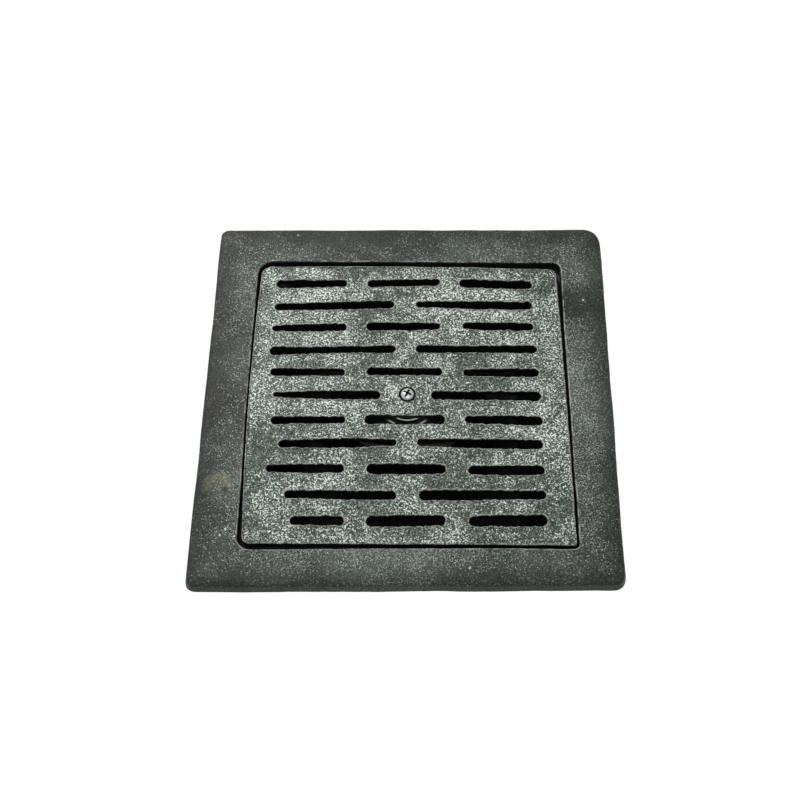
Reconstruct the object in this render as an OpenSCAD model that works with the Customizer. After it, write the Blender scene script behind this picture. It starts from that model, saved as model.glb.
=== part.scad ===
// Cast iron floor drain with a bell trap, in millimetres, +Z up.
// A square frame goes down as a tapered pot with a standpipe and an outlet spigot.
// A slotted grate lies in the frame's recess and carries the bell on one screw.
// The origin is the middle of the spigot's lower end, on the drain's axis.

/* [Frame] */
// Width of the square flange over its foot
frame_w = 300; // [280:1:330]
// Height of the flange's edge
flange_h = 8; // [6:0.5:12]
// Inward lean of the flange's edge from foot to top
edge_draft = 1.5; // [0.5:0.5:2.5]
// Ease along the flange's top edge
edge_ease = 1; // [0.5:0.5:1.5]
// Radius of the flange's corners
corner_r = 7; // [4:1:12]
// Radius of the flange's far right corner, which was cast rounder than the others
round_corner_r = 15; // [10:1:20]
// Radius of the recess's corners
recess_corner_r = 6; // [4:1:10]
// Shift of the recess and the grate from the drain's axis towards the front
recess_shift = 1.75; // [0:0.25:2.5]

/* [Pot] */
// Depth of the pot's floor under the frame's top face
pot_depth = 70; // [66:1:100]
// Width of the seat ledge that carries the grate
ledge_w = 11; // [6:0.5:14]
// Thickness of the seat ledge
ledge_t = 6; // [5:0.5:9]
// Wall thickness of the pot
pot_wall = 6; // [4:0.5:8]
// Thickness of the pot's floor
floor_t = 6; // [5:0.5:9]
// Inward lean of each pot wall from ledge to floor
pot_taper = 20; // [8:1:24]
// Radius of the pot's inner corners above the floor's ease
pot_corner_r = 10; // [8:1:16]
// Ease round the inside edge of the pot's floor
floor_ease = 4; // [2:1:6]

/* [Outlet] */
// Outside diameter of the outlet spigot and standpipe
outlet_od = 83; // [76:0.5:84]
// Wall thickness of the spigot and standpipe
outlet_wall = 5.5; // [4:0.5:7]
// Length of the spigot below the pot's floor
spigot_len = 40; // [30:1:80]
// Depth of the standpipe's rim under the frame's top face
standpipe_depth = 34; // [32:1:42]
// Ease at the spigot's end
spigot_ease = 2; // [1:0.5:3]
// Radius of the fillet between the floor and the pipe
foot_fillet = 5; // [2:1:7]

/* [Grate] */
// Width of the square grate
grate_w = 230; // [228:1:240]
// Thickness of the grate
grate_t = 7; // [6:0.5:10]
// Clearance between the grate and the recess on each side
grate_gap = 2.75; // [1.5:0.25:3.5]
// Depth of the grate's face under the frame's top face
grate_sink = 1; // [0:0.5:2]
// Radius of the grate's corners
grate_corner_r = 4; // [2:1:8]
// Turn of the grate in its recess, in degrees
grate_turn = -0.3; // [-0.5:0.1:0.5]

/* [Slots] */
// Distance between slot rows
slot_pitch = 19.75; // [19:0.05:20.5]
// Width of a slot at the grate's face
slot_w = 6.5; // [5:0.25:8]
// Widening of a slot on each side, from the face to the underside
slot_draft = 0.7; // [0.3:0.1:1]
// Length of a slot row from end to end
row_len = 196; // [180:1:200]
// Shift of the slot rows to the left of the grate's middle
row_shift = 3; // [0:0.5:5]
// Width of the bars between the slots of one row
bar_w = 16.5; // [14:0.5:22]
// Width of the land left for the screw in the middle row
screw_land_w = 38; // [30:1:44]
// Rows, counted from the back, whose left slot is cast short
blind_rows = [8, 10, 11];
// Length lost at the left end of each such slot
blind_len = [10, 16, 21];

/* [Bell] */
// Radius of the bell's hub
hub_r = 18.5; // [16:0.5:25]
// Height of the hub's rim
hub_h = 4; // [3:0.5:6]
// Ease round the hub's top edge
hub_ease = 1.5; // [0.5:0.5:2]
// Thickness of the hub's top
hub_t = 8; // [7:0.5:10]
// Radius of the bell's shoulder
shoulder_r = 48; // [44:0.5:50]
// Drop from the hub's top to the shoulder
shoulder_drop = 15; // [12:0.5:18]
// Radius of the bell's rim
rim_r = 66; // [60:0.5:70]
// Height of the bell
bell_h = 45; // [40:0.5:52]
// Wall thickness of the bell
bell_wall = 5; // [4:0.5:6]
// Depth of the seat for the hub in the grate's underside
hub_seat = 1; // [0.5:0.25:2]
// Clearance round the hub in its seat
hub_gap = 0.5; // [0.3:0.1:1]

/* [Fasteners] */
// Diameter of the centre screw
screw_d = 5; // [4:1:6]
// Length of the centre screw under its head
screw_len = 25; // [24:1:30]
// Clearance round the screw in the grate and the bell
screw_gap = 0.5; // [0.3:0.1:0.8]
// Diameter of the screw's head
head_d = 9.5; // [8:0.5:12]
// Height of the screw's head
head_h = 3.7; // [3:0.1:5]
// Height of the head's upright rim
head_rim_h = 1.3; // [1:0.1:2]
// Length of each arm of the cross recess, from end to end
cross_len = 7; // [4:0.5:8]
// Width of the arms of the cross recess
cross_w = 1.2; // [1:0.1:1.6]
// Depth of the cross recess
cross_depth = 2.2; // [1.8:0.1:2.8]
// Turn of the cross recess, in degrees
cross_turn = 65; // [0:5:85]
// Clearance round the head in its sinking
head_gap = 1.3; // [0.5:0.1:1.8]
// Depth of the sinking for the head
head_sink = 0.8; // [0.5:0.1:1.5]
// Width across the flats of the nut
nut_af = 8; // [7:0.5:12]
// Height of the nut
nut_h = 4.7; // [4:0.1:6.5]
// Outside diameter of the washer
washer_d = 10; // [9:0.5:18]
// Thickness of the washer
washer_t = 1; // [0.8:0.1:2]

/* [Hidden] */
row_count = 11;
thread_gap = 0.05;
// Small overreach that lets a cut pass through a face
cut = 1;
$fn = 64;

// Heights of the main faces
floor_z = spigot_len + floor_t;
top_z = floor_z + pot_depth;
flange_z = top_z - flange_h;
grate_top_z = top_z - grate_sink;
seat_z = grate_top_z - grate_t;
ledge_z = seat_z - ledge_t;
hub_top_z = seat_z + hub_seat;
standpipe_z = top_z - standpipe_depth;
head_seat_z = grate_top_z - head_sink;

// Half widths of the square forms
recess_half = grate_w / 2 + grate_gap;
pot_half = recess_half - ledge_w;
floor_half = pot_half - pot_taper;
pot_axis_half = floor_half - pot_corner_r;
collar_half = recess_half + pot_wall;
outlet_r = outlet_od / 2;
bore_r = outlet_r - outlet_wall;
hole_r = screw_d / 2 + screw_gap;

// Square with one radius at all corners, centred, as a flat outline
module rounded_square(half, r) {
  square([2 * half, 2 * (half - r)], center = true);
  square([2 * (half - r), 2 * half], center = true);
  for (x = [-1, 1], y = [-1, 1])
    translate([x * (half - r), y * (half - r)])
      circle(r);
}

// Square block whose four sides and corners lean, from one half width to the next.
// The corners turn about upright axes that stand axis_half from the middle.
module leaning_square(low_half, high_half, axis_half, z, h) {
  translate([0, 0, z]) {
    for (x = [-1, 1], y = [-1, 1])
      translate([x * axis_half, y * axis_half, 0])
        cylinder(r1 = low_half - axis_half, r2 = high_half - axis_half, h = h);
    for (turn = [0, 90])
      rotate([90, 0, turn])
        translate([0, 0, -axis_half])
          linear_extrude(2 * axis_half)
            polygon([
              [-low_half, 0],
              [low_half, 0],
              [high_half, h],
              [-high_half, h]
            ]);
  }
}

// Flange with leaning edges and an eased top edge
module flange() {
  axis_half = frame_w / 2 - corner_r;
  eased_z = top_z - edge_ease;
  top_half = frame_w / 2 - edge_draft;
  difference() {
    union() {
      leaning_square(frame_w / 2, top_half, axis_half, flange_z, flange_h - edge_ease);
      leaning_square(top_half, top_half - edge_ease, axis_half, eased_z, edge_ease);
    }
    round_corner_cut();
  }
}

// Cut that gives the far right corner its larger radius
module round_corner_cut() {
  axis_at = frame_w / 2 - round_corner_r;
  top_r = round_corner_r - edge_draft;
  difference() {
    translate([axis_at, axis_at, flange_z - cut])
      cube([round_corner_r + cut, round_corner_r + cut, flange_h + 2 * cut]);
    translate([axis_at, axis_at, flange_z])
      cylinder(r1 = round_corner_r, r2 = top_r, h = flange_h - edge_ease);
    translate([axis_at, axis_at, top_z - edge_ease])
      cylinder(r1 = top_r, r2 = top_r - edge_ease, h = edge_ease);
    translate([axis_at, axis_at, flange_z - 2 * cut])
      cylinder(r = round_corner_r, h = 2 * cut);
    translate([axis_at, axis_at, top_z])
      cylinder(r = top_r - edge_ease, h = 2 * cut);
  }
}

// Collar under the flange, round the recess and the seat ledge
module collar() {
  corner = recess_corner_r + pot_wall;
  shelf_z = ledge_z + ledge_t / 2;
  slope_h = collar_half - pot_half - pot_wall;
  translate([0, -recess_shift, 0]) {
    translate([0, 0, shelf_z])
      linear_extrude(top_z - cut - shelf_z)
        rounded_square(collar_half, corner + slope_h);
    leaning_square(collar_half - slope_h, collar_half, collar_half - slope_h - corner,
                   shelf_z - slope_h, slope_h);
  }
}

// Outside of the tapered pot
module pot_outside() {
  low_half = floor_half + pot_wall;
  leaning_square(low_half, pot_half + pot_wall, pot_axis_half, spigot_len + floor_ease,
                 ledge_z - spigot_len);
  leaning_square(low_half - floor_ease, low_half, pot_axis_half, spigot_len, floor_ease);
}

// Inside of the tapered pot, from the floor up to the ledge's top
module pot_inside() {
  leaning_square(floor_half, pot_half, pot_axis_half, floor_z + floor_ease,
                 seat_z - floor_z - floor_ease);
  leaning_square(floor_half - floor_ease, floor_half, pot_axis_half, floor_z, floor_ease);
}

// Outline of the outlet pipe, with a fillet over and under the floor
module outlet_outline() {
  polygon([
    [bore_r, 0],
    [outlet_r - spigot_ease / 2, 0],
    [outlet_r, spigot_ease],
    [outlet_r, spigot_len - foot_fillet],
    [outlet_r + foot_fillet, spigot_len],
    [outlet_r + foot_fillet, floor_z],
    [outlet_r, floor_z + foot_fillet],
    [outlet_r, standpipe_z - spigot_ease / 2],
    [outlet_r - spigot_ease / 2, standpipe_z],
    [bore_r, standpipe_z]
  ]);
}

// Frame, cast in one piece with the pot, the standpipe and the spigot
module frame() {
  color([0.27, 0.28, 0.27])
    difference() {
      union() {
        difference() {
          union() {
            flange();
            collar();
            pot_outside();
          }
          pot_inside();
          translate([0, -recess_shift, seat_z])
            linear_extrude(grate_t + grate_sink + cut)
              rounded_square(recess_half, recess_corner_r);
        }
        rotate_extrude(angle = 360)
          outlet_outline();
      }
      translate([0, 0, -cut])
        cylinder(r = bore_r, h = standpipe_z + 2 * cut);
    }
}

// One drafted slot from x0 to x1, wider at the underside than at the face
module slot(x0, x1, y) {
  r_top = slot_w / 2;
  r_low = r_top + slot_draft;
  grow = slot_draft * cut / grate_t;
  translate([0, y, -cut]) {
    for (x = [x0 + r_top, x1 - r_top])
      translate([x, 0, 0])
        cylinder(r1 = r_low + grow, r2 = r_top - grow, h = grate_t + 2 * cut);
    translate([x0 + r_top, 0, 0])
      rotate([90, 0, 90])
        linear_extrude(x1 - x0 - slot_w)
          polygon([
            [-r_low - grow, 0],
            [r_low + grow, 0],
            [r_top - grow, grate_t + 2 * cut],
            [-r_top + grow, grate_t + 2 * cut]
          ]);
  }
}

// Length lost at the left end of a row's first slot
function blind(row) =
  let (hit = search(row, blind_rows))
  len(hit) > 0 ? blind_len[hit[0]] : 0;

// One row of equal slots with a land of the given width between them
module slot_row(row, count, land) {
  y = ((row_count + 1) / 2 - row) * slot_pitch;
  left = -row_len / 2 - row_shift;
  slot_len = (row_len - (count - 1) * land) / count;
  for (i = [0:count - 1]) {
    x0 = left + i * (slot_len + land);
    slot(x0 + (i == 0 ? blind(row) : 0), x0 + slot_len, y);
  }
}

// Square grate with rows of three short and two long slots in turn
module grate() {
  middle_row = (row_count + 1) / 2;
  color([0.42, 0.45, 0.42])
    translate([0, 0, seat_z])
      rotate([0, 0, grate_turn])
        difference() {
          translate([0, -recess_shift, 0])
            linear_extrude(grate_t)
              rounded_square(grate_w / 2, grate_corner_r);
          for (row = [1:row_count]) {
            if (row == middle_row)
              slot_row(row, 2, screw_land_w);
            else if (row % 2 == 1)
              slot_row(row, 3, bar_w);
            else
              slot_row(row, 2, bar_w);
          }
          translate([0, 0, -cut])
            cylinder(r = hole_r, h = grate_t + 2 * cut);
          translate([0, 0, grate_t - head_sink])
            cylinder(r = head_d / 2 + head_gap, h = head_sink + cut);
          translate([0, 0, -cut])
            cylinder(r = hub_r + hub_gap, h = hub_seat + cut);
        }
}

// Quarter of an oval from level at the start to upright at the end
function dome(r0, z0, r1, z1, steps) = [
  for (i = [0:steps])
    let (a = 90 * i / steps)
    [r0 + (r1 - r0) * sin(a), z1 + (z0 - z1) * cos(a)]
];

function reversed(points) = [for (i = [len(points) - 1:-1:0]) points[i]];

// Bell over the standpipe: hub, domed shoulder and flared skirt
module bell() {
  steps = 6;
  inner_shoulder_r = shoulder_r - bell_wall;
  inner_shoulder_z = -shoulder_drop - bell_wall / 2;
  color([0.2, 0.2, 0.2])
    translate([0, 0, hub_top_z])
      rotate_extrude(angle = 360)
        polygon(concat(
          [[hole_r, 0], [hub_r - hub_ease, 0], [hub_r, -hub_ease]],
          dome(hub_r, -hub_h, shoulder_r, -shoulder_drop, steps),
          [[rim_r, -bell_h], [rim_r - bell_wall, -bell_h]],
          reversed(dome(hub_r - bell_wall, -hub_t, inner_shoulder_r, inner_shoulder_z, steps)),
          [[hole_r, -hub_t]]
        ));
}

// Pan head screw with a cross recess
module centre_screw() {
  steps = 5;
  head_r = head_d / 2;
  color("silver")
    translate([0, 0, head_seat_z])
      difference() {
        union() {
          rotate_extrude(angle = 360)
            polygon(concat(
              [[0, 0], [head_r, 0]],
              reversed(dome(0, head_h, head_r, head_rim_h, steps))
            ));
          translate([0, 0, -screw_len])
            cylinder(d = screw_d, h = screw_len + head_rim_h);
        }
        for (turn = [cross_turn, cross_turn + 90])
          rotate([0, 0, turn])
            translate([-cross_len / 2, -cross_w / 2, head_h - cross_depth])
              cube([cross_len, cross_w, cross_depth + cut]);
      }
}

// Flat washer under the nut, inside the bell
module washer() {
  color("silver")
    translate([0, 0, hub_top_z - hub_t - washer_t])
      difference() {
        cylinder(d = washer_d, h = washer_t);
        translate([0, 0, -cut])
          cylinder(r = hole_r, h = washer_t + 2 * cut);
      }
}

// Nut on the screw's end, inside the bell
module hex_nut() {
  color("silver")
    translate([0, 0, hub_top_z - hub_t - washer_t - nut_h])
      difference() {
        cylinder(d = nut_af / cos(30), h = nut_h, $fn = 6);
        translate([0, 0, -cut])
          cylinder(d = screw_d + 2 * thread_gap, h = nut_h + 2 * cut);
      }
}

frame();
grate();
bell();
centre_screw();
washer();
hex_nut();
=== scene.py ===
import math

import bpy
import numpy as np
from bpy.props import FloatProperty, FloatVectorProperty, IntProperty, PointerProperty
from mathutils import Euler, Matrix, Vector, geometry, noise


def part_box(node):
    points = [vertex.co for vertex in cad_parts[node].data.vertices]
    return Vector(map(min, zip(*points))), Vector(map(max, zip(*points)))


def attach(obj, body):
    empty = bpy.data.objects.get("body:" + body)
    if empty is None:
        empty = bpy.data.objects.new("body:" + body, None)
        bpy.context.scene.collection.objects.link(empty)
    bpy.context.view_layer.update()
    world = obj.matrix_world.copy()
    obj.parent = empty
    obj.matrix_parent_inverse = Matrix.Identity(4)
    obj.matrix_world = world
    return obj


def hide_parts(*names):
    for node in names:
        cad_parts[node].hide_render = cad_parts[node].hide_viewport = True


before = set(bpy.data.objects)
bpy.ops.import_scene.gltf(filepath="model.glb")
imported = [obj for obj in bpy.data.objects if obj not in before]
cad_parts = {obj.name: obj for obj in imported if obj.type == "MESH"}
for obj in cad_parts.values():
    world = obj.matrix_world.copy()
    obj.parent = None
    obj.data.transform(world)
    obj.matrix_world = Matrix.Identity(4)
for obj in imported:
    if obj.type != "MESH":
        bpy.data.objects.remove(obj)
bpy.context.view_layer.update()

bl_info = {
    "name": "Cast Iron Floor Drain",
    "version": (1, 0, 0),
    "blender": (4, 5, 0),
    "location": "3D View > Sidebar > Drain",
    "description": "Dresses a floor drain: frame casting, slotted grate, bell trap and centre screw",
    "category": "Object",
}

MM = 0.001
CAST_SEED = 6


def length(name, description, default):
    return FloatProperty(name=name, description=description, default=default, unit="LENGTH",
                         precision=5)


def turn(name, description, degrees):
    return FloatProperty(name=name, description=description, default=math.radians(degrees),
                         unit="ROTATION")


def amount(name, description, default, unit="NONE"):
    return FloatProperty(name=name, description=description, default=default, unit=unit)


def point(name, description, default):
    return FloatVectorProperty(name=name, description=description, default=default, size=3,
                               subtype="TRANSLATION")


def colour(name, description, default):
    return FloatVectorProperty(name=name, description=description, default=default, size=3,
                               subtype="COLOR", min=0.0, max=1.0)


class FrameSizes(bpy.types.PropertyGroup):
    """Sizes of the frame casting"""

    width: length("Width", "Width of the flange over its foot", 0.300)
    flange_height: length("Flange height", "Height of the flange's edge", 0.008)
    edge_lean: length("Edge lean", "Inward lean of the flange's edge", 0.0015)
    edge_round: length("Edge round", "Height of the flange's rounded top edge", 0.0020)
    edge_reach: length("Edge reach", "Width of the flange's rounded top edge", 0.0065)
    corner: length("Corner", "Radius of the plain corners", 0.007)
    far_right_corner: length("Far right corner", "Reach of the rounder corner", 0.018)
    recess: length("Recess", "Width of the recess for the grate", 0.2355)
    recess_shift: length("Recess shift", "Shift of the recess towards the front", 0.00175)
    recess_depth: length("Recess depth", "Depth of the seat ledge", 0.008)
    recess_corner: length("Recess corner", "Radius of the recess's corners", 0.006)
    rim_round: length("Rim round", "Rounding of the recess's top edge", 0.0007)
    # Width of the painted highlight line beside the recess
    rim_highlight: length("Rim wear", "Width of the worn line beside the recess", 0.0004)
    ledge: length("Ledge", "Width of the seat ledge", 0.011)
    ledge_thickness: length("Ledge thickness", "Thickness of the seat ledge", 0.006)
    wall: length("Wall", "Wall thickness of the pot", 0.006)
    floor_thickness: length("Floor thickness", "Thickness of the pot's floor", 0.006)
    floor_depth: length("Floor depth", "Depth of the pot's floor under the top face", 0.070)
    pot_lean: length("Pot lean", "Inward lean of the pot's walls", 0.020)
    pot_corner: length("Pot corner", "Radius of the pot's inner corners at the floor", 0.010)
    floor_ease: length("Floor ease", "Ease round the pot's floor", 0.004)
    pipe: length("Pipe", "Outside diameter of the spigot and the standpipe", 0.083)
    pipe_wall: length("Pipe wall", "Wall thickness of the spigot and the standpipe", 0.0055)
    spigot: length("Spigot", "Length of the spigot under the floor", 0.040)
    pipe_rim_depth: length("Standpipe depth", "Depth of the standpipe's rim", 0.034)
    pipe_ease: length("Pipe ease", "Ease at the pipe's ends", 0.002)
    fillet: length("Fillet", "Fillet between the floor and the pipe", 0.005)
    wander: length("Wander", "How far the cast edges wander", 0.0006)
    side_points: IntProperty(name="Side points", description="Points along one side",
                             default=112)
    corner_points: IntProperty(name="Corner points", description="Points round one corner",
                               default=12)


class GrateSizes(bpy.types.PropertyGroup):
    """Sizes of the slotted grate"""

    width: length("Width", "Width of the square grate", 0.230)
    thickness: length("Thickness", "Thickness of the grate", 0.007)
    sink: length("Sink", "Depth of its face under the frame's top face", 0.001)
    shift: length("Shift", "Shift of the plate towards the front", 0.00175)
    corner: length("Corner", "Radius of the corners", 0.003)
    pitch: length("Slot pitch", "Distance between slot rows", 0.01975)
    slot: length("Slot width", "Width of a slot at the face", 0.0065)
    draft: length("Slot draft", "Widening of a slot towards the underside", 0.0007)
    row: length("Row length", "Length of a slot row", 0.196)
    dark_edge: length("Edge allowance", "Width that each slot gains at its rounded edges", 0.0008)
    row_shift: length("Row shift", "Shift of the rows to the left", 0.003)
    bar: length("Bar", "Width of the bars between the slots of a row", 0.0165)
    screw_land: length("Screw land", "Land left for the screw", 0.038)
    lip: length("Lip", "Rounding of the slot edges", 0.0005)
    wander: length("Wander", "How far the slot edges wander", 0.00038)
    seat_radius: length("Seat radius", "Radius of the hub's seat in the underside", 0.019)
    seat_depth: length("Seat depth", "Depth of the hub's seat", 0.001)
    sinking_radius: length("Sinking radius", "Radius of the sinking for the head", 0.0063)
    sinking_shift: length("Sinking shift", "Shift of the sinking towards the back", 0.0004)
    sinking_depth: length("Sinking depth", "Depth of the sinking for the head", 0.0008)
    hole_radius: length("Hole radius", "Radius of the screw hole", 0.003)
    mesh_step: length("Mesh step", "Distance between the points of the face", 0.0012)


class BellSizes(bpy.types.PropertyGroup):
    """Sizes of the bell"""

    hub: length("Hub", "Radius of the hub", 0.0185)
    hub_height: length("Hub height", "Height of the hub's rim", 0.004)
    hub_ease: length("Hub ease", "Rounding of the hub's top edge", 0.0015)
    roof: length("Roof", "Thickness of the hub's top", 0.008)
    shoulder: length("Shoulder", "Radius of the shoulder", 0.048)
    shoulder_drop: length("Shoulder drop", "Drop from the hub to the shoulder", 0.015)
    bead: length("Bead", "Radius of the bead round the hub's foot", 0.0208)
    bead_height: length("Bead height", "Height of the bead over the bell", 0.0007)
    hole: length("Hole", "Radius of the screw hole", 0.003)
    rim: length("Rim", "Radius of the rim", 0.066)
    height: length("Height", "Height of the bell", 0.045)
    wall: length("Wall", "Wall thickness of the bell", 0.005)


class FastenerSizes(bpy.types.PropertyGroup):
    """Sizes of the centre screw, washer and nut"""

    thread: length("Thread", "Outside diameter of the thread", 0.005)
    thread_pitch: length("Thread pitch", "Pitch of the thread", 0.0008)
    screw: length("Screw", "Length under the head", 0.025)
    head: length("Head", "Diameter of the head", 0.0095)
    head_height: length("Head height", "Height of the head", 0.0037)
    head_rim: length("Head rim", "Height of the head's upright rim", 0.0012)
    cross: length("Cross", "Length of the cross recess from end to end", 0.0074)
    cross_width: length("Cross width", "Width of the cross recess", 0.0018)
    cross_depth: length("Cross depth", "Depth of the cross recess", 0.0022)
    cross_turn: turn("Cross turn", "Turn of the cross recess", 65)
    nut: length("Nut", "Width across the nut's flats", 0.008)
    nut_height: length("Nut height", "Height of the nut", 0.0047)
    washer: length("Washer", "Outside diameter of the washer", 0.010)
    washer_thickness: length("Washer thickness", "Thickness of the washer", 0.001)
    washer_hole: length("Washer hole", "Radius of the washer's hole", 0.003)


class Finishes(bpy.types.PropertyGroup):
    """Colours of the castings and the steel"""

    frame_dark: colour("Frame dark", "Darkest black paint on the frame", (0.010, 0.013, 0.011))
    frame_grey: colour("Frame grey", "Worn grey of the frame", (0.132, 0.164, 0.136))
    frame_brown: colour("Frame brown", "Brownish patches of the frame", (0.150, 0.138, 0.116))
    frame_speck: colour("Frame speck", "Pale grain of the frame", (0.640, 0.720, 0.620))
    rust: colour("Rust", "Ochre stain on the frame", (0.36, 0.31, 0.15))
    grate_dark: colour("Grate dark", "Dark grey green of the grate", (0.016, 0.031, 0.022))
    grate_grey: colour("Grate grey", "Grey green of the grate", (0.136, 0.188, 0.146))
    # Also the colour of the painted highlights on the frame's rim, the slots' edges and the bell
    pale_speck_and_highlight: colour("Grate speck", "Pale grain of the grate", (0.930, 1.000, 0.910))
    inside: colour("Inside", "Black of the pot and the slot walls", (0.006, 0.007, 0.006))
    bell: colour("Bell", "Black coating of the bell", (0.009, 0.009, 0.009))
    steel: colour("Steel", "Zinc plated steel", (0.97, 0.97, 0.95))


class StageSettings(bpy.types.PropertyGroup):
    """Camera, floor and lamps"""

    elevation: turn("Elevation", "Height angle of the camera", 60.89)
    azimuth: turn("Azimuth", "Side angle of the camera", -2.07)
    roll: turn("Roll", "Turn of the camera about its axis", -1.74)
    distance: length("Distance", "Distance from the camera to its aim", 0.8856)
    lens: amount("Lens", "Focal length in millimetres", 54.86, "CAMERA")
    aim: point("Aim", "Point that the camera looks at", (-0.0053, -0.0051, 0.116))
    floor_half: length("Floor half", "Half the width of the floor", 6.0)
    floor_white: amount("Floor white", "Brightness of the floor", 1.08)
    world: amount("World", "Strength of the even light", 0.42)
    key: amount("Key", "Power of the lamp behind on the left", 9.0, "POWER")
    key_width: length("Key width", "Width of the lamp behind on the left", 0.35)
    key_place: point("Key place", "Place of the lamp behind on the left", (-0.50, 0.72, 0.95))
    fill: amount("Fill", "Power of the large lamp above the camera", 2.0, "POWER")
    fill_width: length("Fill width", "Width of the large lamp above the camera", 0.9)
    fill_place: point("Fill place", "Place of the large lamp above the camera", (0.1, -0.5, 1.3))


def sizes(name):
    """The settings of one group of pieces."""
    return getattr(bpy.context.scene, "drain_" + name)


def top_face():
    """Height of the frame's top face over the spigot's lower end, in metres."""
    f = sizes("frame")
    return f.spigot + f.floor_thickness + f.floor_depth


def new_object(name, points, faces, node, material):
    """A mesh object from points in millimetres, riding on the drain in place of a CAD node."""
    mesh = bpy.data.meshes.new(name)
    mesh.from_pydata([tuple(p) for p in np.asarray(points) * MM], [], faces)
    mesh.update()
    mesh.polygons.foreach_set("use_smooth", [True] * len(mesh.polygons))
    obj = bpy.data.objects.new(name, mesh)
    bpy.context.scene.collection.objects.link(obj)
    mesh.materials.append(material)
    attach(obj, "root")
    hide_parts(node)
    return obj


def store(obj, name, values):
    """Keeps one number for each point of the mesh, for the material to read."""
    attribute = obj.data.attributes.new(name, "FLOAT", "POINT")
    attribute.data.foreach_set("value", np.asarray(values, dtype=np.float32))


def wave(x, y, size, seed):
    """Smooth noise from about -1 to 1 at one place, for a wave of the given size."""
    return noise.noise(Vector((x / size, y / size, seed)))


def lifted(points, rise):
    """The points, moved up."""
    return [(x, y, z + rise) for x, y, z in points]


def flipped(faces):
    """The faces, turned to look the other way."""
    return [tuple(reversed(face)) for face in faces]


def band(first, second):
    """Faces between two equal closed rows of point numbers."""
    count = len(first)
    return [(first[i], first[(i + 1) % count], second[(i + 1) % count], second[i])
            for i in range(count)]


def row_faces(rows, closed=True):
    """Faces between each row of points and the next, and from the last to the first."""
    pairs = zip(rows, rows[1:] + rows[:1]) if closed else zip(rows, rows[1:])
    return [face for first, second in pairs for face in band(first, second)]


def line_points(start, end, steps):
    """Points between the two ends of a straight run in a section plane."""
    return [(start[0] + (end[0] - start[0]) * i / steps, start[1] + (end[1] - start[1]) * i / steps)
            for i in range(1, steps)]


def arc_points(start, end, bulge, steps):
    """Points of a quarter oval in a section plane, from start to end. The tangent at the start
    runs along the first axis where bulge is 0 and along the second where it is 1."""
    out = []
    for i in range(steps + 1):
        a = 0.5 * math.pi * i / steps
        early, late = math.sin(a), 1 - math.cos(a)
        along, rise = (early, late) if bulge == 0 else (late, early)
        out.append((start[0] + (end[0] - start[0]) * along,
                    start[1] + (end[1] - start[1]) * rise))
    return out


def ring_mesh(rings, closed=True):
    """Points and faces of rings about the upright axis. Each ring is a row of radii and
    heights, one for each step round the axis."""
    steps = len(rings[0])
    points = [(r * math.cos(2 * math.pi * k / steps), r * math.sin(2 * math.pi * k / steps), z)
              for ring in rings for k, (r, z) in enumerate(ring)]
    rows = [list(range(i * steps, (i + 1) * steps)) for i in range(len(rings))]
    return points, row_faces(rows, closed)


def revolve(profile, steps):
    """Points and faces of a closed section turned about the upright axis."""
    return ring_mesh([[corner] * steps for corner in profile])


# Frame casting

# How far each side of a cast outline stands outside its plain square, in millimetres: the
# right side from near to far, the back from left to right, the left side from near to far
# and the front from left to right, each at its start, middle and end. The outlines are the
# flange's foot, its top edge, the recess and the grate.
FOOT_SIDES = ((-1.0, -0.3, 0.0), (0.0, 0.0, 0.0), (0.0, -0.2, -1.2), (0.2, -0.9, -2.2))
TOP_SIDES = ((-0.9, 0.3, 1.3), (0.8, 0.5, 1.3), (0.2, 0.0, -1.1), (0.2, -0.9, -2.2))
RECESS_SIDES = ((0.9, -0.4, -0.6), (2.5, 1.4, 0.9), (-2.1, -0.8, -2.2), (2.2, 1.1, 0.6))
GRATE_SIDES = ((1.3, 0.6, -1.3), (0.2, 0.6, -2.3), (-2.3, 0.8, -2.1), (0.2, 0.3, 0.8))
# How much each corner's radius differs from the plain one, in millimetres: far right, far
# left, near left and near right. The frame's far right corner has its own size and isn't here.
FRAME_CORNERS = (0.0, 2.0, 6.0)
RECESS_CORNERS = (0.0, 6.0, 3.0, -2.0)
GRATE_CORNERS = (2.5, 4.0, 2.5, -1.5)
# Fullness of the frame's outer corners in the same order, 1 for a quarter circle
CORNER_POWERS = (0.77, 1.0, 0.8, 0.65)
# Smallest radius of a corner, in millimetres
SHARPEST = 0.6


def departed(ring, sides):
    """Moves a square outline's sides by their departures, blended across the square."""
    half = np.abs(ring).max()
    u, v = ring[:, 0] / half, ring[:, 1] / half

    def along(side, t):
        start, middle, end = side
        return middle + (end - start) / 2 * t + ((start + end) / 2 - middle) * t * t

    right, back, left, front = sides
    out = ring.copy()
    out[:, 0] += (1 + u) / 2 * along(right, v) - (1 - u) / 2 * along(left, v)
    out[:, 1] += (1 + v) / 2 * along(back, u) - (1 - v) / 2 * along(front, u)
    return out


def square_ring(half, radii, side_points, corner_points, powers=(1.0, 1.0, 1.0, 1.0)):
    """Outline of a rounded square, counter-clockwise from the right side's near end.
    The radii are those of the far right, far left, near left and near right corners. A corner
    is fuller than a quarter circle where its power is under 1."""
    out = []
    for k in range(4):
        turn_k = 0.5 * math.pi * k
        c, s = math.cos(turn_k), math.sin(turn_k)
        before, after = radii[k - 1], radii[k]
        for i in range(side_points):
            t = -(half - before) + (2 * half - before - after) * i / side_points
            out.append((c * half - s * t, s * half + c * t))
        centre = half - after
        for i in range(corner_points):
            a = 0.5 * math.pi * i / corner_points
            u = centre + after * math.cos(a) ** powers[k]
            v = centre + after * math.sin(a) ** powers[k]
            out.append((c * u - s * v, s * u + c * v))
    return np.array(out)


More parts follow.
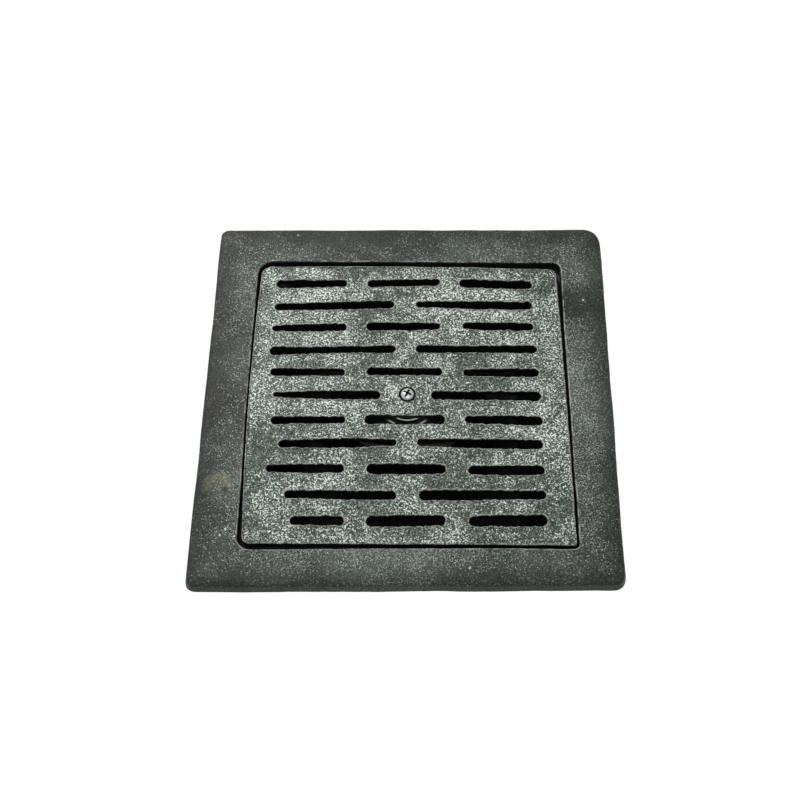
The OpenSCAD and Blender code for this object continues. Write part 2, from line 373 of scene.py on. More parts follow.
def round_ring(radius, side_points, corner_points):
    """Circle with the same count and order of points as a square ring."""
    corner_share = math.radians(14)
    out = []
    for k in range(4):
        middle = 0.5 * math.pi * k
        side = math.radians(45) - corner_share
        for i in range(side_points):
            a = middle - side + 2 * side * i / side_points
            out.append((radius * math.cos(a), radius * math.sin(a)))
        for i in range(corner_points):
            a = middle + side + 2 * corner_share * i / corner_points
            out.append((radius * math.cos(a), radius * math.sin(a)))
    return np.array(out)


def frame_rings(f):
    """Rings of the frame casting in order round its section, each with the steps to the next."""
    mm = 1 / MM
    side, corner = f.side_points, f.corner_points
    top = top_face() * mm
    foot = top - f.flange_height * mm
    seat = top - f.recess_depth * mm
    ledge_under = seat - f.ledge_thickness * mm
    recess = f.recess * mm / 2
    ledge_edge = recess - f.ledge * mm
    wall = f.wall * mm
    floor = (f.spigot + f.floor_thickness) * mm
    floor_half = ledge_edge - f.pot_lean * mm
    axis_half = floor_half - f.pot_corner * mm
    ease = f.floor_ease * mm
    spigot = f.spigot * mm
    pipe = f.pipe * mm / 2
    bore = pipe - f.pipe_wall * mm
    fillet = f.fillet * mm
    pipe_ease = f.pipe_ease * mm
    pipe_rim = top - f.pipe_rim_depth * mm
    # The wandering edge stays about inside the full width
    half = f.width * mm / 2 - 0.3 * f.wander * mm
    lean = f.edge_lean * mm
    rounding, reach = f.edge_round * mm, f.edge_reach * mm
    rim = f.rim_round * mm
    plain, wide = f.corner * mm, f.far_right_corner * mm
    recess_corner = f.recess_corner * mm
    recess_shift = f.recess_shift * mm
    # Small eases at the flange's foot, the pipe's mouth, the standpipe's rim and the ledge
    foot_ease, mouth_ease, rim_ease, ledge_ease = 0.6, 0.5, 0.8, 0.6

    def outer(inset, z, sides=FOOT_SIDES):
        radii = [wide] + [plain + more for more in FRAME_CORNERS]
        radii = [max(radius - inset, SHARPEST) for radius in radii]
        ring = square_ring(half - inset, radii, side, corner, CORNER_POWERS)
        return departed(ring, sides), z

    def inner(inset, z):
        radii = [recess_corner + more + inset for more in RECESS_CORNERS]
        ring = departed(square_ring(recess + inset, radii, side, corner), RECESS_SIDES)
        return ring - (0, recess_shift), z

    def pot(ring_half, z):
        return square_ring(ring_half, [ring_half - axis_half] * 4, side, corner), z

    def collar_ring(ring_half, radius, z):
        return square_ring(ring_half, [radius] * 4, side, corner) - (0, recess_shift), z

    def pipe_ring(radius, z):
        return round_ring(radius, side, corner), z

    collar = recess + wall
    shelf = ledge_under + f.ledge_thickness * mm / 2
    slope = collar - ledge_edge - wall
    rings = []

    def add(ring, steps):
        rings.append((ring[0], ring[1], steps))

    add(inner(rim, top), 1)
    add(inner(rim + f.rim_highlight * mm, top), 10)
    for r, z in arc_points((lean + reach, top), (lean, top - rounding), 0, 7):
        add(outer(r, z, TOP_SIDES), 1)
    rings[-1] = rings[-1][:2] + (3,)
    add(outer(foot_ease / 4, foot + foot_ease), 1)
    add(outer(0.0, foot + foot_ease / 2), 1)
    add(outer(foot_ease * 2 / 3, foot), 8)
    add(collar_ring(collar, recess_corner + wall + slope, foot), 2)
    add(collar_ring(collar, recess_corner + wall + slope, shelf), 4)
    add(collar_ring(collar - slope, recess_corner + wall, shelf - slope), 1)
    outer_lean = f.pot_lean * mm / (ledge_under - spigot)
    pot_outer = floor_half + wall + outer_lean * (shelf - slope - spigot - ease)
    add(pot(pot_outer, shelf - slope), 16)
    add(pot(floor_half + wall, spigot + ease), 1)
    add(pot(floor_half + wall - ease * 0.35, spigot + ease * 0.3), 1)
    add(pot(floor_half + wall - ease, spigot), 8)
    add(pipe_ring(pipe + fillet, spigot), 1)
    for r, z in arc_points((pipe + fillet, spigot), (pipe, spigot - fillet), 0, 4)[1:]:
        add(pipe_ring(r, z), 1)
    rings[-1] = rings[-1][:2] + (8,)
    add(pipe_ring(pipe, pipe_ease), 1)
    add(pipe_ring(pipe - pipe_ease * 0.15, pipe_ease * 0.4), 1)
    add(pipe_ring(pipe - pipe_ease / 2, 0), 2)
    add(pipe_ring(bore + mouth_ease, 0), 1)
    add(pipe_ring(bore, mouth_ease), 18)
    add(pipe_ring(bore, pipe_rim - rim_ease), 1)
    add(pipe_ring(bore + rim_ease, pipe_rim), 2)
    add(pipe_ring(pipe - rim_ease, pipe_rim), 1)
    add(pipe_ring(pipe, pipe_rim - rim_ease), 8)
    for r, z in arc_points((pipe, floor + fillet), (pipe + fillet, floor), 1, 4):
        add(pipe_ring(r, z), 1)
    rings[-1] = rings[-1][:2] + (9,)
    add(pot(floor_half - ease, floor), 1)
    add(pot(floor_half - ease * 0.3, floor + ease * 0.3), 1)
    add(pot(floor_half, floor + ease), 14)
    add(pot(ledge_edge - rim_ease / 2, seat - rim_ease), 1)
    add(pot(ledge_edge, seat), 4)
    add(inner(-ledge_ease, seat), 1)
    add(inner(0.0, seat + ledge_ease), 3)
    add(inner(0.0, top - rim), 1)
    add(inner(0.3 * rim, top - 0.3 * rim), 1)
    return rings


def roughen(points, waves):
    """Casting unevenness: each point moves by smooth noise of the given sizes, amounts and
    seeds."""
    # The vector noise would start from the clock without a seed
    noise.seed_set(CAST_SEED)
    out = np.array(points, dtype=float)
    for size, amplitude, seed in waves:
        for i, p in enumerate(points):
            v = noise.noise_vector(Vector((p[0] / size, p[1] / size, p[2] / size + seed)))
            out[i] += amplitude * np.array(v)
    return out


def frame_mesh(f):
    """Points and faces of the frame casting, and the painted highlight along the recess's top edge.
    """
    rings = frame_rings(f)
    points, rows = [], []
    for i, (ring, z, steps) in enumerate(rings):
        nxt, nxt_z, _ = rings[(i + 1) % len(rings)]
        for k in range(steps):
            t = k / steps
            flat = ring * (1 - t) + nxt * t
            rows.append(list(range(len(points), len(points) + len(flat))))
            points += [(x, y, z * (1 - t) + nxt_z * t) for x, y in flat]
    # Long waves along the edges, then the skin of the sand mould
    wander = f.wander / MM
    rough = roughen(points, ((46.0, wander, 3.0), (15.0, 0.35 * wander, 8.0), (5.0, 0.11, 5.0)))
    limit = f.width / MM / 2
    rough[:, :2] = np.clip(rough[:, :2], -limit, limit)
    rough[:, 2] = np.maximum(rough[:, 2], 0.0)
    # Painted highlight on the rings at the recess's top edge
    rim_highlight = np.zeros(len(points))
    for row in (rows[0], rows[-1]):
        rim_highlight[row] = 1.0
    return rough, row_faces(rows), rim_highlight


class DRAIN_OT_frame_casting(bpy.types.Operator):
    """Builds the frame: flange, recess, pot, standpipe and spigot in one casting"""

    bl_idname = "drain.frame_casting"
    bl_label = "Frame Casting"

    def execute(self, context):
        points, faces, rim_highlight = frame_mesh(sizes("frame"))
        obj = new_object("frame_casting", points, faces, "frame", frame_iron())
        store(obj, "edge", rim_highlight)
        return {"FINISHED"}


# Grate

ROWS = 11
# Rows whose left slot is cast short, and by how many millimetres
BLIND_ROWS = {8: 10, 10: 16, 11: 21}
# The slot in front of the hub, whose front edge bulges, with the bulge in millimetres
BULGE_SLOT = (7, 1)
BULGE = 0.8
BULGE_HALF_WIDTH = 9.0
# Waves of a cast slot's edge: size in millimetres, seed and share of the wander
SLOT_WAVES = ((9.0, 0, 1.0), (3.6, 7, 1.5), (1.9, 17, 1.2))
# How much calmer the waves are at a slot's round ends, as a share
END_CALM = 0.6
# Waves of the cast face: size and height in millimetres, and seed
FACE_WAVES = ((5.2, 0.17, 1.0), (2.6, 0.12, 2.0), (34.0, 0.28, 3.0))
# How each cast slot departs from the plain pattern, row by row from the back and from left
# to right, in millimetres: its left and right end, its height at the left and the right, and
# its width at the left, in the middle and at the right over the plain width.
SLOT_DEPARTURES = (
    ((0.1, -0.5, -1.2, -0.6, -0.2, -0.2, -0.9),
     (-0.6, -0.1, -0.6, 0.2, -0.7, -0.8, -0.7),
     (-1.0, -0.4, -1.0, -2.2, 0.6, 0.4, 0.1)),
    ((0.1, 0.2, -2.2, -0.5, -1.1, -0.5, -0.4),
     (1.2, -1.4, -0.3, -1.3, -1.9, -0.4, -0.5)),
    ((-0.8, 0.2, -1.8, -1.1, -2.2, -0.6, -0.7),
     (-0.6, -0.1, -0.2, -0.2, -0.6, -0.6, -1.1),
     (1.1, -1.2, 0.0, -0.5, -1.2, -0.4, -0.8)),
    ((-1.6, 1.8, -2.0, -0.5, 0.0, -1.5, -0.8),
     (1.2, 0.6, -0.5, -0.7, -0.6, -1.3, -0.4)),
    ((0.1, 0.2, -0.7, -0.7, -0.7, -1.0, -1.0),
     (0.4, 1.1, -0.1, -0.3, -0.8, -0.9, -1.1),
     (0.8, 1.2, -1.1, -1.2, -1.3, -0.4, -0.4)),
    ((3.3, 2.1, -0.1, -0.2, -2.9, -0.4, -0.2),
     (1.7, 1.9, -0.6, -1.0, -0.3, -0.2, 0.5)),
    ((2.9, 1.7, -1.4, -1.1, -0.8, -1.6, -1.5),
     (0.0, 2.8, -0.75, -0.75, 0.4, -0.5, 0.4),
     (1.5, 2.1, -0.7, -1.5, -1.1, 0.0, 0.4)),
    ((-0.6, 3.2, -0.7, 0.3, -1.2, 0.3, -1.9),
     (2.3, 1.6, 0.2, -1.0, -1.4, 0.2, 0.2)),
    ((1.7, 2.0, -0.6, -0.6, -1.5, -0.4, -0.5),
     (2.1, 2.9, -0.9, -0.9, 0.4, 0.8, 0.3),
     (3.0, 1.8, -1.7, -1.7, -0.6, 0.4, -0.2)),
    ((-0.2, 3.7, -0.9, -1.6, -1.2, -0.4, -0.4),
     (3.8, 1.9, -1.2, -1.1, 0.5, 0.2, -0.9)),
    ((-0.3, 3.4, -1.0, -1.1, -0.7, -0.5, -0.1),
     (2.5, 2.6, -1.4, -0.7, 0.8, 1.3, 0.4),
     (3.0, 1.9, -1.0, -0.6, 0.6, 1.2, 1.2)),
)


def slot_outline(x0, x1, y0, y1, widths, seed, g, bulge=0.0):
    """Wavy outline of one slot, counter-clockwise, and its outward normals. The heights are
    those near its ends and the widths those at the left, in the middle and at the right. The
    bulge is how far the front edge stands out in front of the hub."""
    step = 0.75
    end_steps = 13
    # The given heights lie this far in from the slot's ends
    inset = 10
    wander = g.wander / MM
    left, middle, right = widths
    span = x1 - x0

    def width_at(s):
        # A quadratic through the three widths, taken at 0.1, 0.5 and 0.9 of the span
        t = min(max((s - 0.5) / 0.4, -1.0), 1.0)
        return middle + (right - left) / 2 * t + ((left + right) / 2 - middle) * t * t

    left_r, right_r = width_at(0.0) / 2, width_at(1.0) / 2
    straight = max(6, int((span - left_r - right_r) / step))
    base = []
    for side in (-1, 1):
        for i in range(straight):
            t = i / straight if side == -1 else 1 - i / straight
            x = x0 + left_r + (span - left_r - right_r) * t
            base.append((x, side * width_at((x - x0) / span) / 2, 0.0, side))
        centre, r, way = (x1 - right_r, right_r, 1) if side == -1 else (x0 + left_r, left_r, -1)
        for i in range(end_steps):
            a = -0.5 * math.pi + math.pi * i / end_steps
            nx, ny = way * math.cos(a), way * math.sin(a)
            base.append((centre + r * nx, r * ny, nx, ny))
    points, normals = [], []
    lean = (y1 - y0) / max(span - 2 * inset, inset)
    for x, y, nx, ny in base:
        axis = (y0 + y1) / 2 + lean * (x - (x0 + x1) / 2)
        jitter = sum(wave(x, y + axis, size, seed + more) * wander * share
                     for size, more, share in SLOT_WAVES)
        jitter *= 1 - END_CALM * abs(nx)
        if ny < 0:
            jitter += bulge * math.exp(-(x / BULGE_HALF_WIDTH) ** 4)
        points.append((x + nx * jitter, axis + y + ny * jitter))
        normals.append((nx, ny))
    return np.array(points), np.array(normals)


def grate_slots(g):
    """Outline and normals of every slot, in the grate's own plane."""
    width = g.slot / MM
    row_length, shift = g.row / MM, g.row_shift / MM
    edge = g.dark_edge / MM
    out = []
    for row in range(1, ROWS + 1):
        y = ((ROWS + 1) / 2 - row) * g.pitch / MM
        if row == (ROWS + 1) // 2:
            count, land = 2, g.screw_land / MM
        else:
            count, land = (3, g.bar / MM) if row % 2 else (2, g.bar / MM)
        slot_length = (row_length - (count - 1) * land) / count
        for i in range(count):
            x0 = -row_length / 2 - shift + i * (slot_length + land)
            x1 = x0 + slot_length
            if i == 0:
                x0 += BLIND_ROWS.get(row, 0)
            moves = SLOT_DEPARTURES[row - 1][i]
            widths = [width + over + edge for over in moves[4:]]
            seed = row * 3.7 + i * 1.3
            bulge = BULGE if (row, i) == BULGE_SLOT else 0.0
            out.append(slot_outline(x0 + moves[0] - edge / 2, x1 + moves[1] + edge / 2,
                                    y + moves[2], y + moves[3], widths, seed, g, bulge))
    return out


def grate_outline(g):
    """Outline and normals of the grate's edge, counter-clockwise."""
    half, corner = g.width / MM / 2, g.corner / MM
    radii = [corner + more for more in GRATE_CORNERS]
    side_points, corner_points = 190, 9
    ring = departed(square_ring(half, radii, side_points, corner_points), GRATE_SIDES)
    ring = ring - (0, g.shift / MM)
    ahead, behind = np.roll(ring, -1, axis=0), np.roll(ring, 1, axis=0)
    tangent = ahead - behind
    tangent /= np.linalg.norm(tangent, axis=1)[:, None]
    normals = np.stack([tangent[:, 1], -tangent[:, 0]], axis=1)
    wander = g.wander / MM
    for i, (x, y) in enumerate(ring.copy()):
        jitter = 0.8 * wander * wave(x, y, 17.0, 9.0) + 0.5 * wander * wave(x, y, 5.0, 4.0)
        ring[i] += normals[i] * jitter
    return ring, normals


def inside(outline, x, y):
    """True where a point lies in a closed outline."""
    a, b = outline, np.roll(outline, -1, axis=0)
    cross = (a[:, 1] > y) != (b[:, 1] > y)
    with np.errstate(divide="ignore", invalid="ignore"):
        at = a[:, 0] + (y - a[:, 1]) * (b[:, 0] - a[:, 0]) / (b[:, 1] - a[:, 1])
    return bool(np.count_nonzero(cross & (x < at)) % 2)


def point_cells(points, size):
    """Points sorted into square cells, by the numbers of their column and row."""
    cells = {}
    for x, y in points:
        cells.setdefault((int(x // size), int(y // size)), []).append((x, y))
    return cells


def neighbours(cells, size, x, y):
    """Points in the cell of one place and in the eight cells round it."""
    i, j = int(x // size), int(y // size)
    return [p for di in (-1, 0, 1) for dj in (-1, 0, 1)
            for p in cells.get((i + di, j + dj), ())]


def face_points(step, half, loops, clearance, extra=()):
    """Grid points of a face, in staggered rows, that keep clear of every loop."""
    cells = point_cells(np.concatenate(loops), step)
    count = int(2 * half / step)
    candidates = [(-half + (i + 0.5 * (j % 2)) * step, -half + j * step)
                  for j in range(count + 1) for i in range(count + 1)]
    return [(x, y) for x, y in list(extra) + candidates
            if all((x - px) ** 2 + (y - py) ** 2 >= clearance ** 2
                   for px, py in neighbours(cells, step, x, y))]


def fill_face(loops, outer, grid):
    """Triangles between an outer loop and the loops of its holes. The points are those of the
    loops in order, then the grid's that lie in the face."""
    boxes = [(loop.min(axis=0), loop.max(axis=0)) for loop in loops]

    def in_hole(x, y):
        return any(k != outer and low[0] < x < high[0] and low[1] < y < high[1]
                   and inside(loops[k], x, y) for k, (low, high) in enumerate(boxes))

    kept = [(x, y) for x, y in grid if inside(loops[outer], x, y) and not in_hole(x, y)]
    points = [tuple(p) for loop in loops for p in loop] + kept
    owner = [k for k, loop in enumerate(loops) for _ in loop] + [-1] * len(kept)
    edges, start = [], 0
    for loop in loops:
        n = len(loop)
        edges += [(start + i, start + (i + 1) % n) for i in range(n)]
        start += n
    result = geometry.delaunay_2d_cdt([Vector(p) for p in points], edges, [], 0, 1e-5)
    if len(result[0]) != len(points):
        raise RuntimeError("the face's loops cross or touch")
    source = [o[0] for o in result[3]]
    faces = []
    for tri in result[2]:
        a, b, c = [source[i] for i in tri]
        if owner[a] == owner[b] == owner[c] != -1:
            x = (points[a][0] + points[b][0] + points[c][0]) / 3
            y = (points[a][1] + points[b][1] + points[c][1]) / 3
            if inside(loops[owner[a]], x, y) != (owner[a] == outer):
                continue
        faces.append((a, b, c))
    return points, faces


def grate_mesh(g):
    """Points and faces of the grate in millimetres over its underside, and the loops of its
    top face."""
    thick = g.thickness / MM
    lip, draft = g.lip / MM, g.draft / MM
    slots = grate_slots(g)
    outline, outline_normals = grate_outline(g)
    circle_steps = 56
    angles = [2 * math.pi * i / circle_steps for i in range(circle_steps)]
    unit = np.array([(math.cos(a), math.sin(a)) for a in angles])
    sinking, hole = g.sinking_radius / MM, g.hole_radius / MM
    depth = g.sinking_depth / MM
    # Each loop goes down through the plate as rows of a way out and a depth
    slot_rows = [(lip, 0.0), (0.42 * lip, 0.1 * lip), (0.1 * lip, 0.42 * lip), (0.0, lip)]
    slot_rows += [(draft * d, thick * d) for d in (0.18, 0.35, 0.6, 0.88)]
    slot_rows += [(draft + 0.3, thick)]
    edge_rows = [(-1.2 * lip, 0.0), (-0.5 * lip, 0.12 * lip), (-0.1 * lip, 0.5 * lip),
                 (0.0, 1.2 * lip), (0.0, 0.5 * thick), (-0.1, 0.9 * thick), (-0.6, thick)]
    hole_rows = [(sinking + 0.2, 0.0), (sinking + 0.05, 0.1), (sinking, 0.3), (sinking, depth),
                 (hole + 0.2, depth + 0.05), (hole, depth + 0.3), (hole, thick - 0.3),
                 (hole + 0.3, thick)]
    loops = [(outline, outline_normals, edge_rows)]
    loops += [(p, n, slot_rows) for p, n in slots]
    loops += [(unit * 0.0 + (0, g.sinking_shift / MM), unit, hole_rows)]
    top_loops = [p + n * rows[0][0] for p, n, rows in loops]
    low_loops = [p + n * rows[-1][0] for p, n, rows in loops]
    half = g.width / MM / 2
    step = g.mesh_step / MM
    top_grid = face_points(step, half, top_loops, 0.62 * step)
    top_points, top_faces = fill_face(top_loops, 0, top_grid)
    # The underside has a coarser grid and two close circles where the hub's seat steps up
    seat_r = g.seat_radius / MM
    low_step, low_clearance = 3.0, 1.2
    seat_circles = [(r * math.cos(a), r * math.sin(a)) for r in (seat_r - 0.2, seat_r + 0.2)
                    for a in np.linspace(0, 2 * math.pi, 120, endpoint=False)]
    low_grid = face_points(low_step, half, low_loops, low_clearance, seat_circles)
    low_points, low_faces = fill_face(low_loops, 0, low_grid)

    seat_depth = g.seat_depth / MM

    def underside(x, y):
        return seat_depth if math.hypot(x, y) < seat_r else 0.0

    points = [(x, y, thick) for x, y in top_points]
    starts = [sum(len(loop) for loop in top_loops[:k]) for k in range(len(top_loops))]
    faces = list(top_faces)
    low_start = len(points)
    points += [(x, y, underside(x, y)) for x, y in low_points]
    faces += [tuple(low_start + i for i in reversed(f)) for f in low_faces]
    for k, (p, n, rows) in enumerate(loops):
        count = len(p)
        previous = list(range(starts[k], starts[k] + count))
        for out, down in rows[1:-1]:
            ring = p + n * out
            row = list(range(len(points), len(points) + count))
            for x, y in ring:
                z = max(thick - down, underside(x, y) + 0.3)
                points.append((x, y, z))
            faces += band(previous, row) if k == 0 else band(row, previous)
            previous = row
        last = list(range(low_start + starts[k], low_start + starts[k] + count))
        faces += band(previous, last) if k == 0 else band(last, previous)
    return np.array(points), faces, top_loops


def edge_distance(points, loops, reach):
    """Distance from each point to the nearest loop point, up to the given reach."""
    cells = point_cells(np.concatenate(loops), reach)
    return np.array([min([reach] + [math.hypot(x - px, y - py)
                                    for px, py in neighbours(cells, reach, x, y)])
                     for x, y in points[:, :2]])


class DRAIN_OT_grate(bpy.types.Operator):
    """Builds the grate with its drafted slots, eased edges and uneven cast face"""

    bl_idname = "drain.grate"
    bl_label = "Grate"

    def execute(self, context):
        g = sizes("grate")
        points, faces, loops = grate_mesh(g)
        # Only points less than a millimetre under the face move with it, and the painted highlight
        # along the edges fades this far from an edge
        reach = 2.4
        near = edge_distance(points, loops, reach)
        on_face = points[:, 2] > g.thickness / MM - 1.0
        skin = np.array([sum(height * wave(x, y, size, seed) for size, height, seed in FACE_WAVES)
                         for x, y in points[:, :2]])
        points[:, 2] += np.where(on_face, skin, 0.0)
        points[:, 2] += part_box("grate")[0][2] / MM
        obj = new_object("grate_casting", points, faces, "grate", grate_iron())
        store(obj, "edge", 1 - near / reach)
        return {"FINISHED"}


# Bell

# How far to each side of the front the painted highlights on the bell's edges reach, in degrees,
# where the bead's highlighted part begins, and how far each of them takes to fade
HIGHLIGHT_ANGLE = 44.0
BEAD_ANGLE = 23.0
HIGHLIGHT_FADE = 8.0
BEAD_FADE = 6.0
# Half widths of the painted highlight lines on the hub's edge and on the bead, in millimetres
HUB_LINE = 0.6
BEAD_LINE = 0.8


def bell_profile(b):
    """Closed section of the bell, with its hub's top face at height 0."""
    mm = 1 / MM
    hub, hub_z = b.hub * mm, -b.hub_height * mm
    ease = b.hub_ease * mm
    shoulder, drop = b.shoulder * mm, -b.shoulder_drop * mm
    rim, height, wall = b.rim * mm, -b.height * mm, b.wall * mm
    roof = -b.roof * mm
    hole = b.hole * mm
    out = [(hole, 0.0), (hub * 0.5, 0.0), (hub * 0.75, 0.0), (hub - ease - 0.4, 0.0)]
    out += arc_points((hub - ease, 0.0), (hub, -ease), 0, 10)
    # The bead has a flat crest and slopes down to its foot on each side
    bead, bead_z = b.bead * mm, hub_z - 0.2
    crest, crest_z, foot = 0.4, bead_z + b.bead_height * mm, 1.0
    out += [(hub + 0.1, bead_z), (bead - foot, bead_z), (bead - crest, crest_z)]
    out += [(bead + crest, crest_z), (bead + foot, bead_z - 0.1)]
    out += arc_points((bead + foot + 0.8, bead_z - 0.5), (shoulder, drop), 0, 18)
    out += line_points((shoulder, drop), (rim, height), 15)
    out += [(rim - 0.2, height + 0.8), (rim - 0.7, height + 0.1), (rim - 1.6, height)]
    out += [(rim - wall + 0.8, height), (rim - wall, height + 0.8)]
    inner, inner_z = shoulder - wall, drop - wall / 2
    out += line_points((rim - wall, height), (inner, inner_z), 12)
    out += reversed(arc_points((hub - wall, roof), (inner, inner_z), 0, 12))
    out += [(hub * 0.5, roof), (hole, roof)]
    return out


class DRAIN_OT_bell(bpy.types.Operator):
    """Builds the bell that hangs under the grate"""

    bl_idname = "drain.bell"
    bl_label = "Bell"

    def execute(self, context):
        b = sizes("bell")
        low, top = (corner[2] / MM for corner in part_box("bell"))
        points, faces = revolve(bell_profile(b), 112)
        plain = np.array(lifted(points, top))
        rough = roughen(plain, ((30.0, 0.15, 1.0), (7.0, 0.1, 2.0)))
        # The uneven rim stays inside the bell's own size
        rim = b.rim / MM - 0.1
        rough[:, :2] /= np.maximum(np.hypot(rough[:, 0], rough[:, 1]) / rim, 1.0)[:, None]
        rough[:, 2] = np.clip(rough[:, 2], low, top)
        obj = new_object("bell_casting", rough, flipped(faces), "bell", bell_black())
        # Painted highlight where the hub's top edge turns down and along the bead, towards the front
        out = np.hypot(plain[:, 0], plain[:, 1])
        turned = np.degrees(np.abs(np.arctan2(plain[:, 0], -plain[:, 1])))
        on_hub = plain[:, 2] > top - b.hub_ease / MM
        on_bead = plain[:, 2] > top - b.hub_height / MM - 1.5
        hub_gap = np.abs(out - (b.hub - b.hub_ease * 0.55) / MM)
        bead_gap = np.abs(out - b.bead / MM)
        hub_line = np.where(on_hub, 1.0 - hub_gap / HUB_LINE, 0.0)
        bead_line = np.where(on_bead, 1.2 - bead_gap / BEAD_LINE, 0.0)
        bead_line *= np.clip((turned - BEAD_ANGLE) / BEAD_FADE, 0, 1)
        front = np.clip((HIGHLIGHT_ANGLE - turned) / HIGHLIGHT_FADE, 0, 1)
        store(obj, "edge", np.clip(np.maximum(hub_line, bead_line), 0, 1) * front)
        return {"FINISHED"}


# Fasteners

# Radius that closes a turned end's middle, in millimetres
POLE = 0.02


def head_profile(s):
    """Section of the screw's head from its crown down to its seat at height 0. The rim stands
    upright over its lower part, which is cut in towards the seat."""
    mm = 1 / MM
    head, height, rim = s.head * mm / 2, s.head_height * mm, s.head_rim * mm
    return [(POLE, height), *arc_points((0.3, height), (head, rim), 0, 14),
            (head, 0.75 * rim), (head, 0.6 * rim), (head - 0.3, 0.05), (head - 0.6, 0.0)]


def screw_mesh(s):
    """Head with a plain neck and a cut thread down to the end."""
    mm = 1 / MM
    steps = 48
    thread, pitch, screw = s.thread * mm / 2, s.thread_pitch * mm, s.screw * mm
    depth = 0.55 * pitch
    rows_per_turn = 8
    # Heights at which the plain neck ends and the thread begins, and the plain end's length
    neck, start, end = 2.0, 2.2, 1.0
    rings = [[corner] * steps for corner in head_profile(s)]
    rings += [[(thread, 0.0)] * steps, [(thread, -neck)] * steps]
    count = int((screw - neck - end) / pitch * rows_per_turn)
    for i in range(count + 1):
        z = -start - (screw - start - end) * i / count
        fade = min(1.0, i / rows_per_turn)
        phases = [(-z / pitch - k / steps) % 1.0 for k in range(steps)]
        rings.append([(thread - depth * abs(2 * phase - 1) * fade, z) for phase in phases])
    rings += [[(r, z)] * steps for r, z in ((thread - 0.9, 0.1 - screw), (thread - 1.2, -screw),
                                            (POLE, -screw))]
    points, faces = ring_mesh(rings, closed=False)
    crown, tip = range(steps), range(len(points) - steps, len(points))
    return points, flipped(faces) + [tuple(crown), tuple(reversed(tip))]


def cut_cross(screw, s, seat_z):
    """Cuts the cross recess into the screw's head with two tapered blades."""
    mm = 1 / MM
    height, rim = s.head_height * mm, s.head_rim * mm
    head, cross = s.head * mm / 2, s.cross * mm / 2
    top = seat_z + height
    # Height, half length and half width of a blade at its foot and over the head
    ends = ((top - s.cross_depth * mm, 2.5, 0.65), (top + 0.5, cross, s.cross_width * mm / 2))
    blades = []
    for extra in (0.0, 0.5 * math.pi):
        points = [(sx * long_half * MM, sy * wide_half * MM, z * MM)
                  for z, long_half, wide_half in ends
                  for sx, sy in ((1, 1), (-1, 1), (-1, -1), (1, -1))]
        sides = [(i, (i + 1) % 4, (i + 1) % 4 + 4, i + 4) for i in range(4)]
        mesh = bpy.data.meshes.new("blade")
        mesh.from_pydata(points, [], [(3, 2, 1, 0), (4, 5, 6, 7)] + sides)
        blade = bpy.data.objects.new("blade", mesh)
        blade.rotation_euler = Euler((0, 0, s.cross_turn + extra))
        bpy.context.scene.collection.objects.link(blade)
        blades.append(blade)
        cut = screw.modifiers.new("cross", "BOOLEAN")
        cut.operation = "DIFFERENCE"
        cut.solver = "EXACT"
        cut.object = blade
    depsgraph = bpy.context.evaluated_depsgraph_get()
    baked = bpy.data.meshes.new_from_object(screw.evaluated_get(depsgraph))
    screw.modifiers.clear()
    screw.data = baked
    # Painted shade in the recess, at every point well under the dome's own surface, and round the
    # foot of the head's rim
    shade = []
    for vertex in baked.vertices:
        x, y, z = np.array(vertex.co) * mm
        r = math.hypot(x, y)
        dome = rim + (height - rim) * math.sqrt(max(0.0, 1 - (r / head) ** 2))
        in_recess = seat_z + 0.5 < z < seat_z + dome - 0.35 and r < cross
        under_rim = z < seat_z + 0.7 * rim and r > s.thread * mm / 2
        shade.append(float(in_recess or under_rim))
    store(screw, "shade", shade)
    for blade in blades:
        bpy.data.objects.remove(blade)


def nut_mesh(s):
    """Six-sided nut with chamfered corners and a plain hole eased at both ends."""
    mm = 1 / MM
    steps = 72
    flat, height = s.nut * mm / 2, s.nut_height * mm
    hole, ease = s.thread * mm / 2 + 0.05, 0.5
    slope = math.tan(math.radians(30))
    edge = 0.96 * flat
    angles = [2 * math.pi * k / steps for k in range(steps)]
    hexagon = [flat / math.cos((a + math.pi / 6) % (math.pi / 3) - math.pi / 6) for a in angles]
    rings = [[(edge, 0.0)] * steps,
             [(r, (r - edge) * slope) for r in hexagon],
             [(r, height - (r - edge) * slope) for r in hexagon]]
    rings += [[corner] * steps for corner in ((edge, height), (hole + ease, height),
                                              (hole, height - ease), (hole, ease),
                                              (hole + ease, 0.0))]
    return ring_mesh(rings)


def washer_section(s):
    """Closed section of the washer, with its edges eased."""
    mm = 1 / MM
    hole, outer, thick = s.washer_hole * mm, s.washer * mm / 2, s.washer_thickness * mm
    ease = 0.2
    return [(hole, ease), (hole + ease, 0), (outer - ease, 0), (outer, ease),
            (outer, thick - ease), (outer - ease, thick), (hole + ease, thick),
            (hole, thick - ease)]


def flat_edges(obj, degrees):
    """Keeps edges crisp that are sharper than the given angle."""
    with bpy.context.temp_override(object=obj, active_object=obj, selected_objects=[obj],
                                   selected_editable_objects=[obj]):
        bpy.ops.object.shade_smooth_by_angle(angle=math.radians(degrees))


class DRAIN_OT_fasteners(bpy.types.Operator):
    """Builds the centre screw, its washer and its nut"""

    bl_idname = "drain.fasteners"
    bl_label = "Screw, Washer and Nut"

    def execute(self, context):
        s = sizes("fasteners")
        steel = zinc_steel()

        def low(node):
            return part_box(node)[0][2] / MM

        def add(name, mesh, node, rise):
            points, faces = mesh
            return new_object(name, lifted(points, rise), faces, node, steel)

        seat_z = low("centre_screw") + s.screw / MM
        screw = add("centre_screw_cut", screw_mesh(s), "centre_screw", seat_z)
        cut_cross(screw, s, seat_z)
        washer = add("washer_eased", revolve(washer_section(s), 64), "washer", low("washer"))
        nut = add("hex_nut_chamfered", nut_mesh(s), "hex_nut", low("hex_nut"))
        for obj in (screw, washer, nut):
            flat_edges(obj, 35)
        return {"FINISHED"}


# Materials

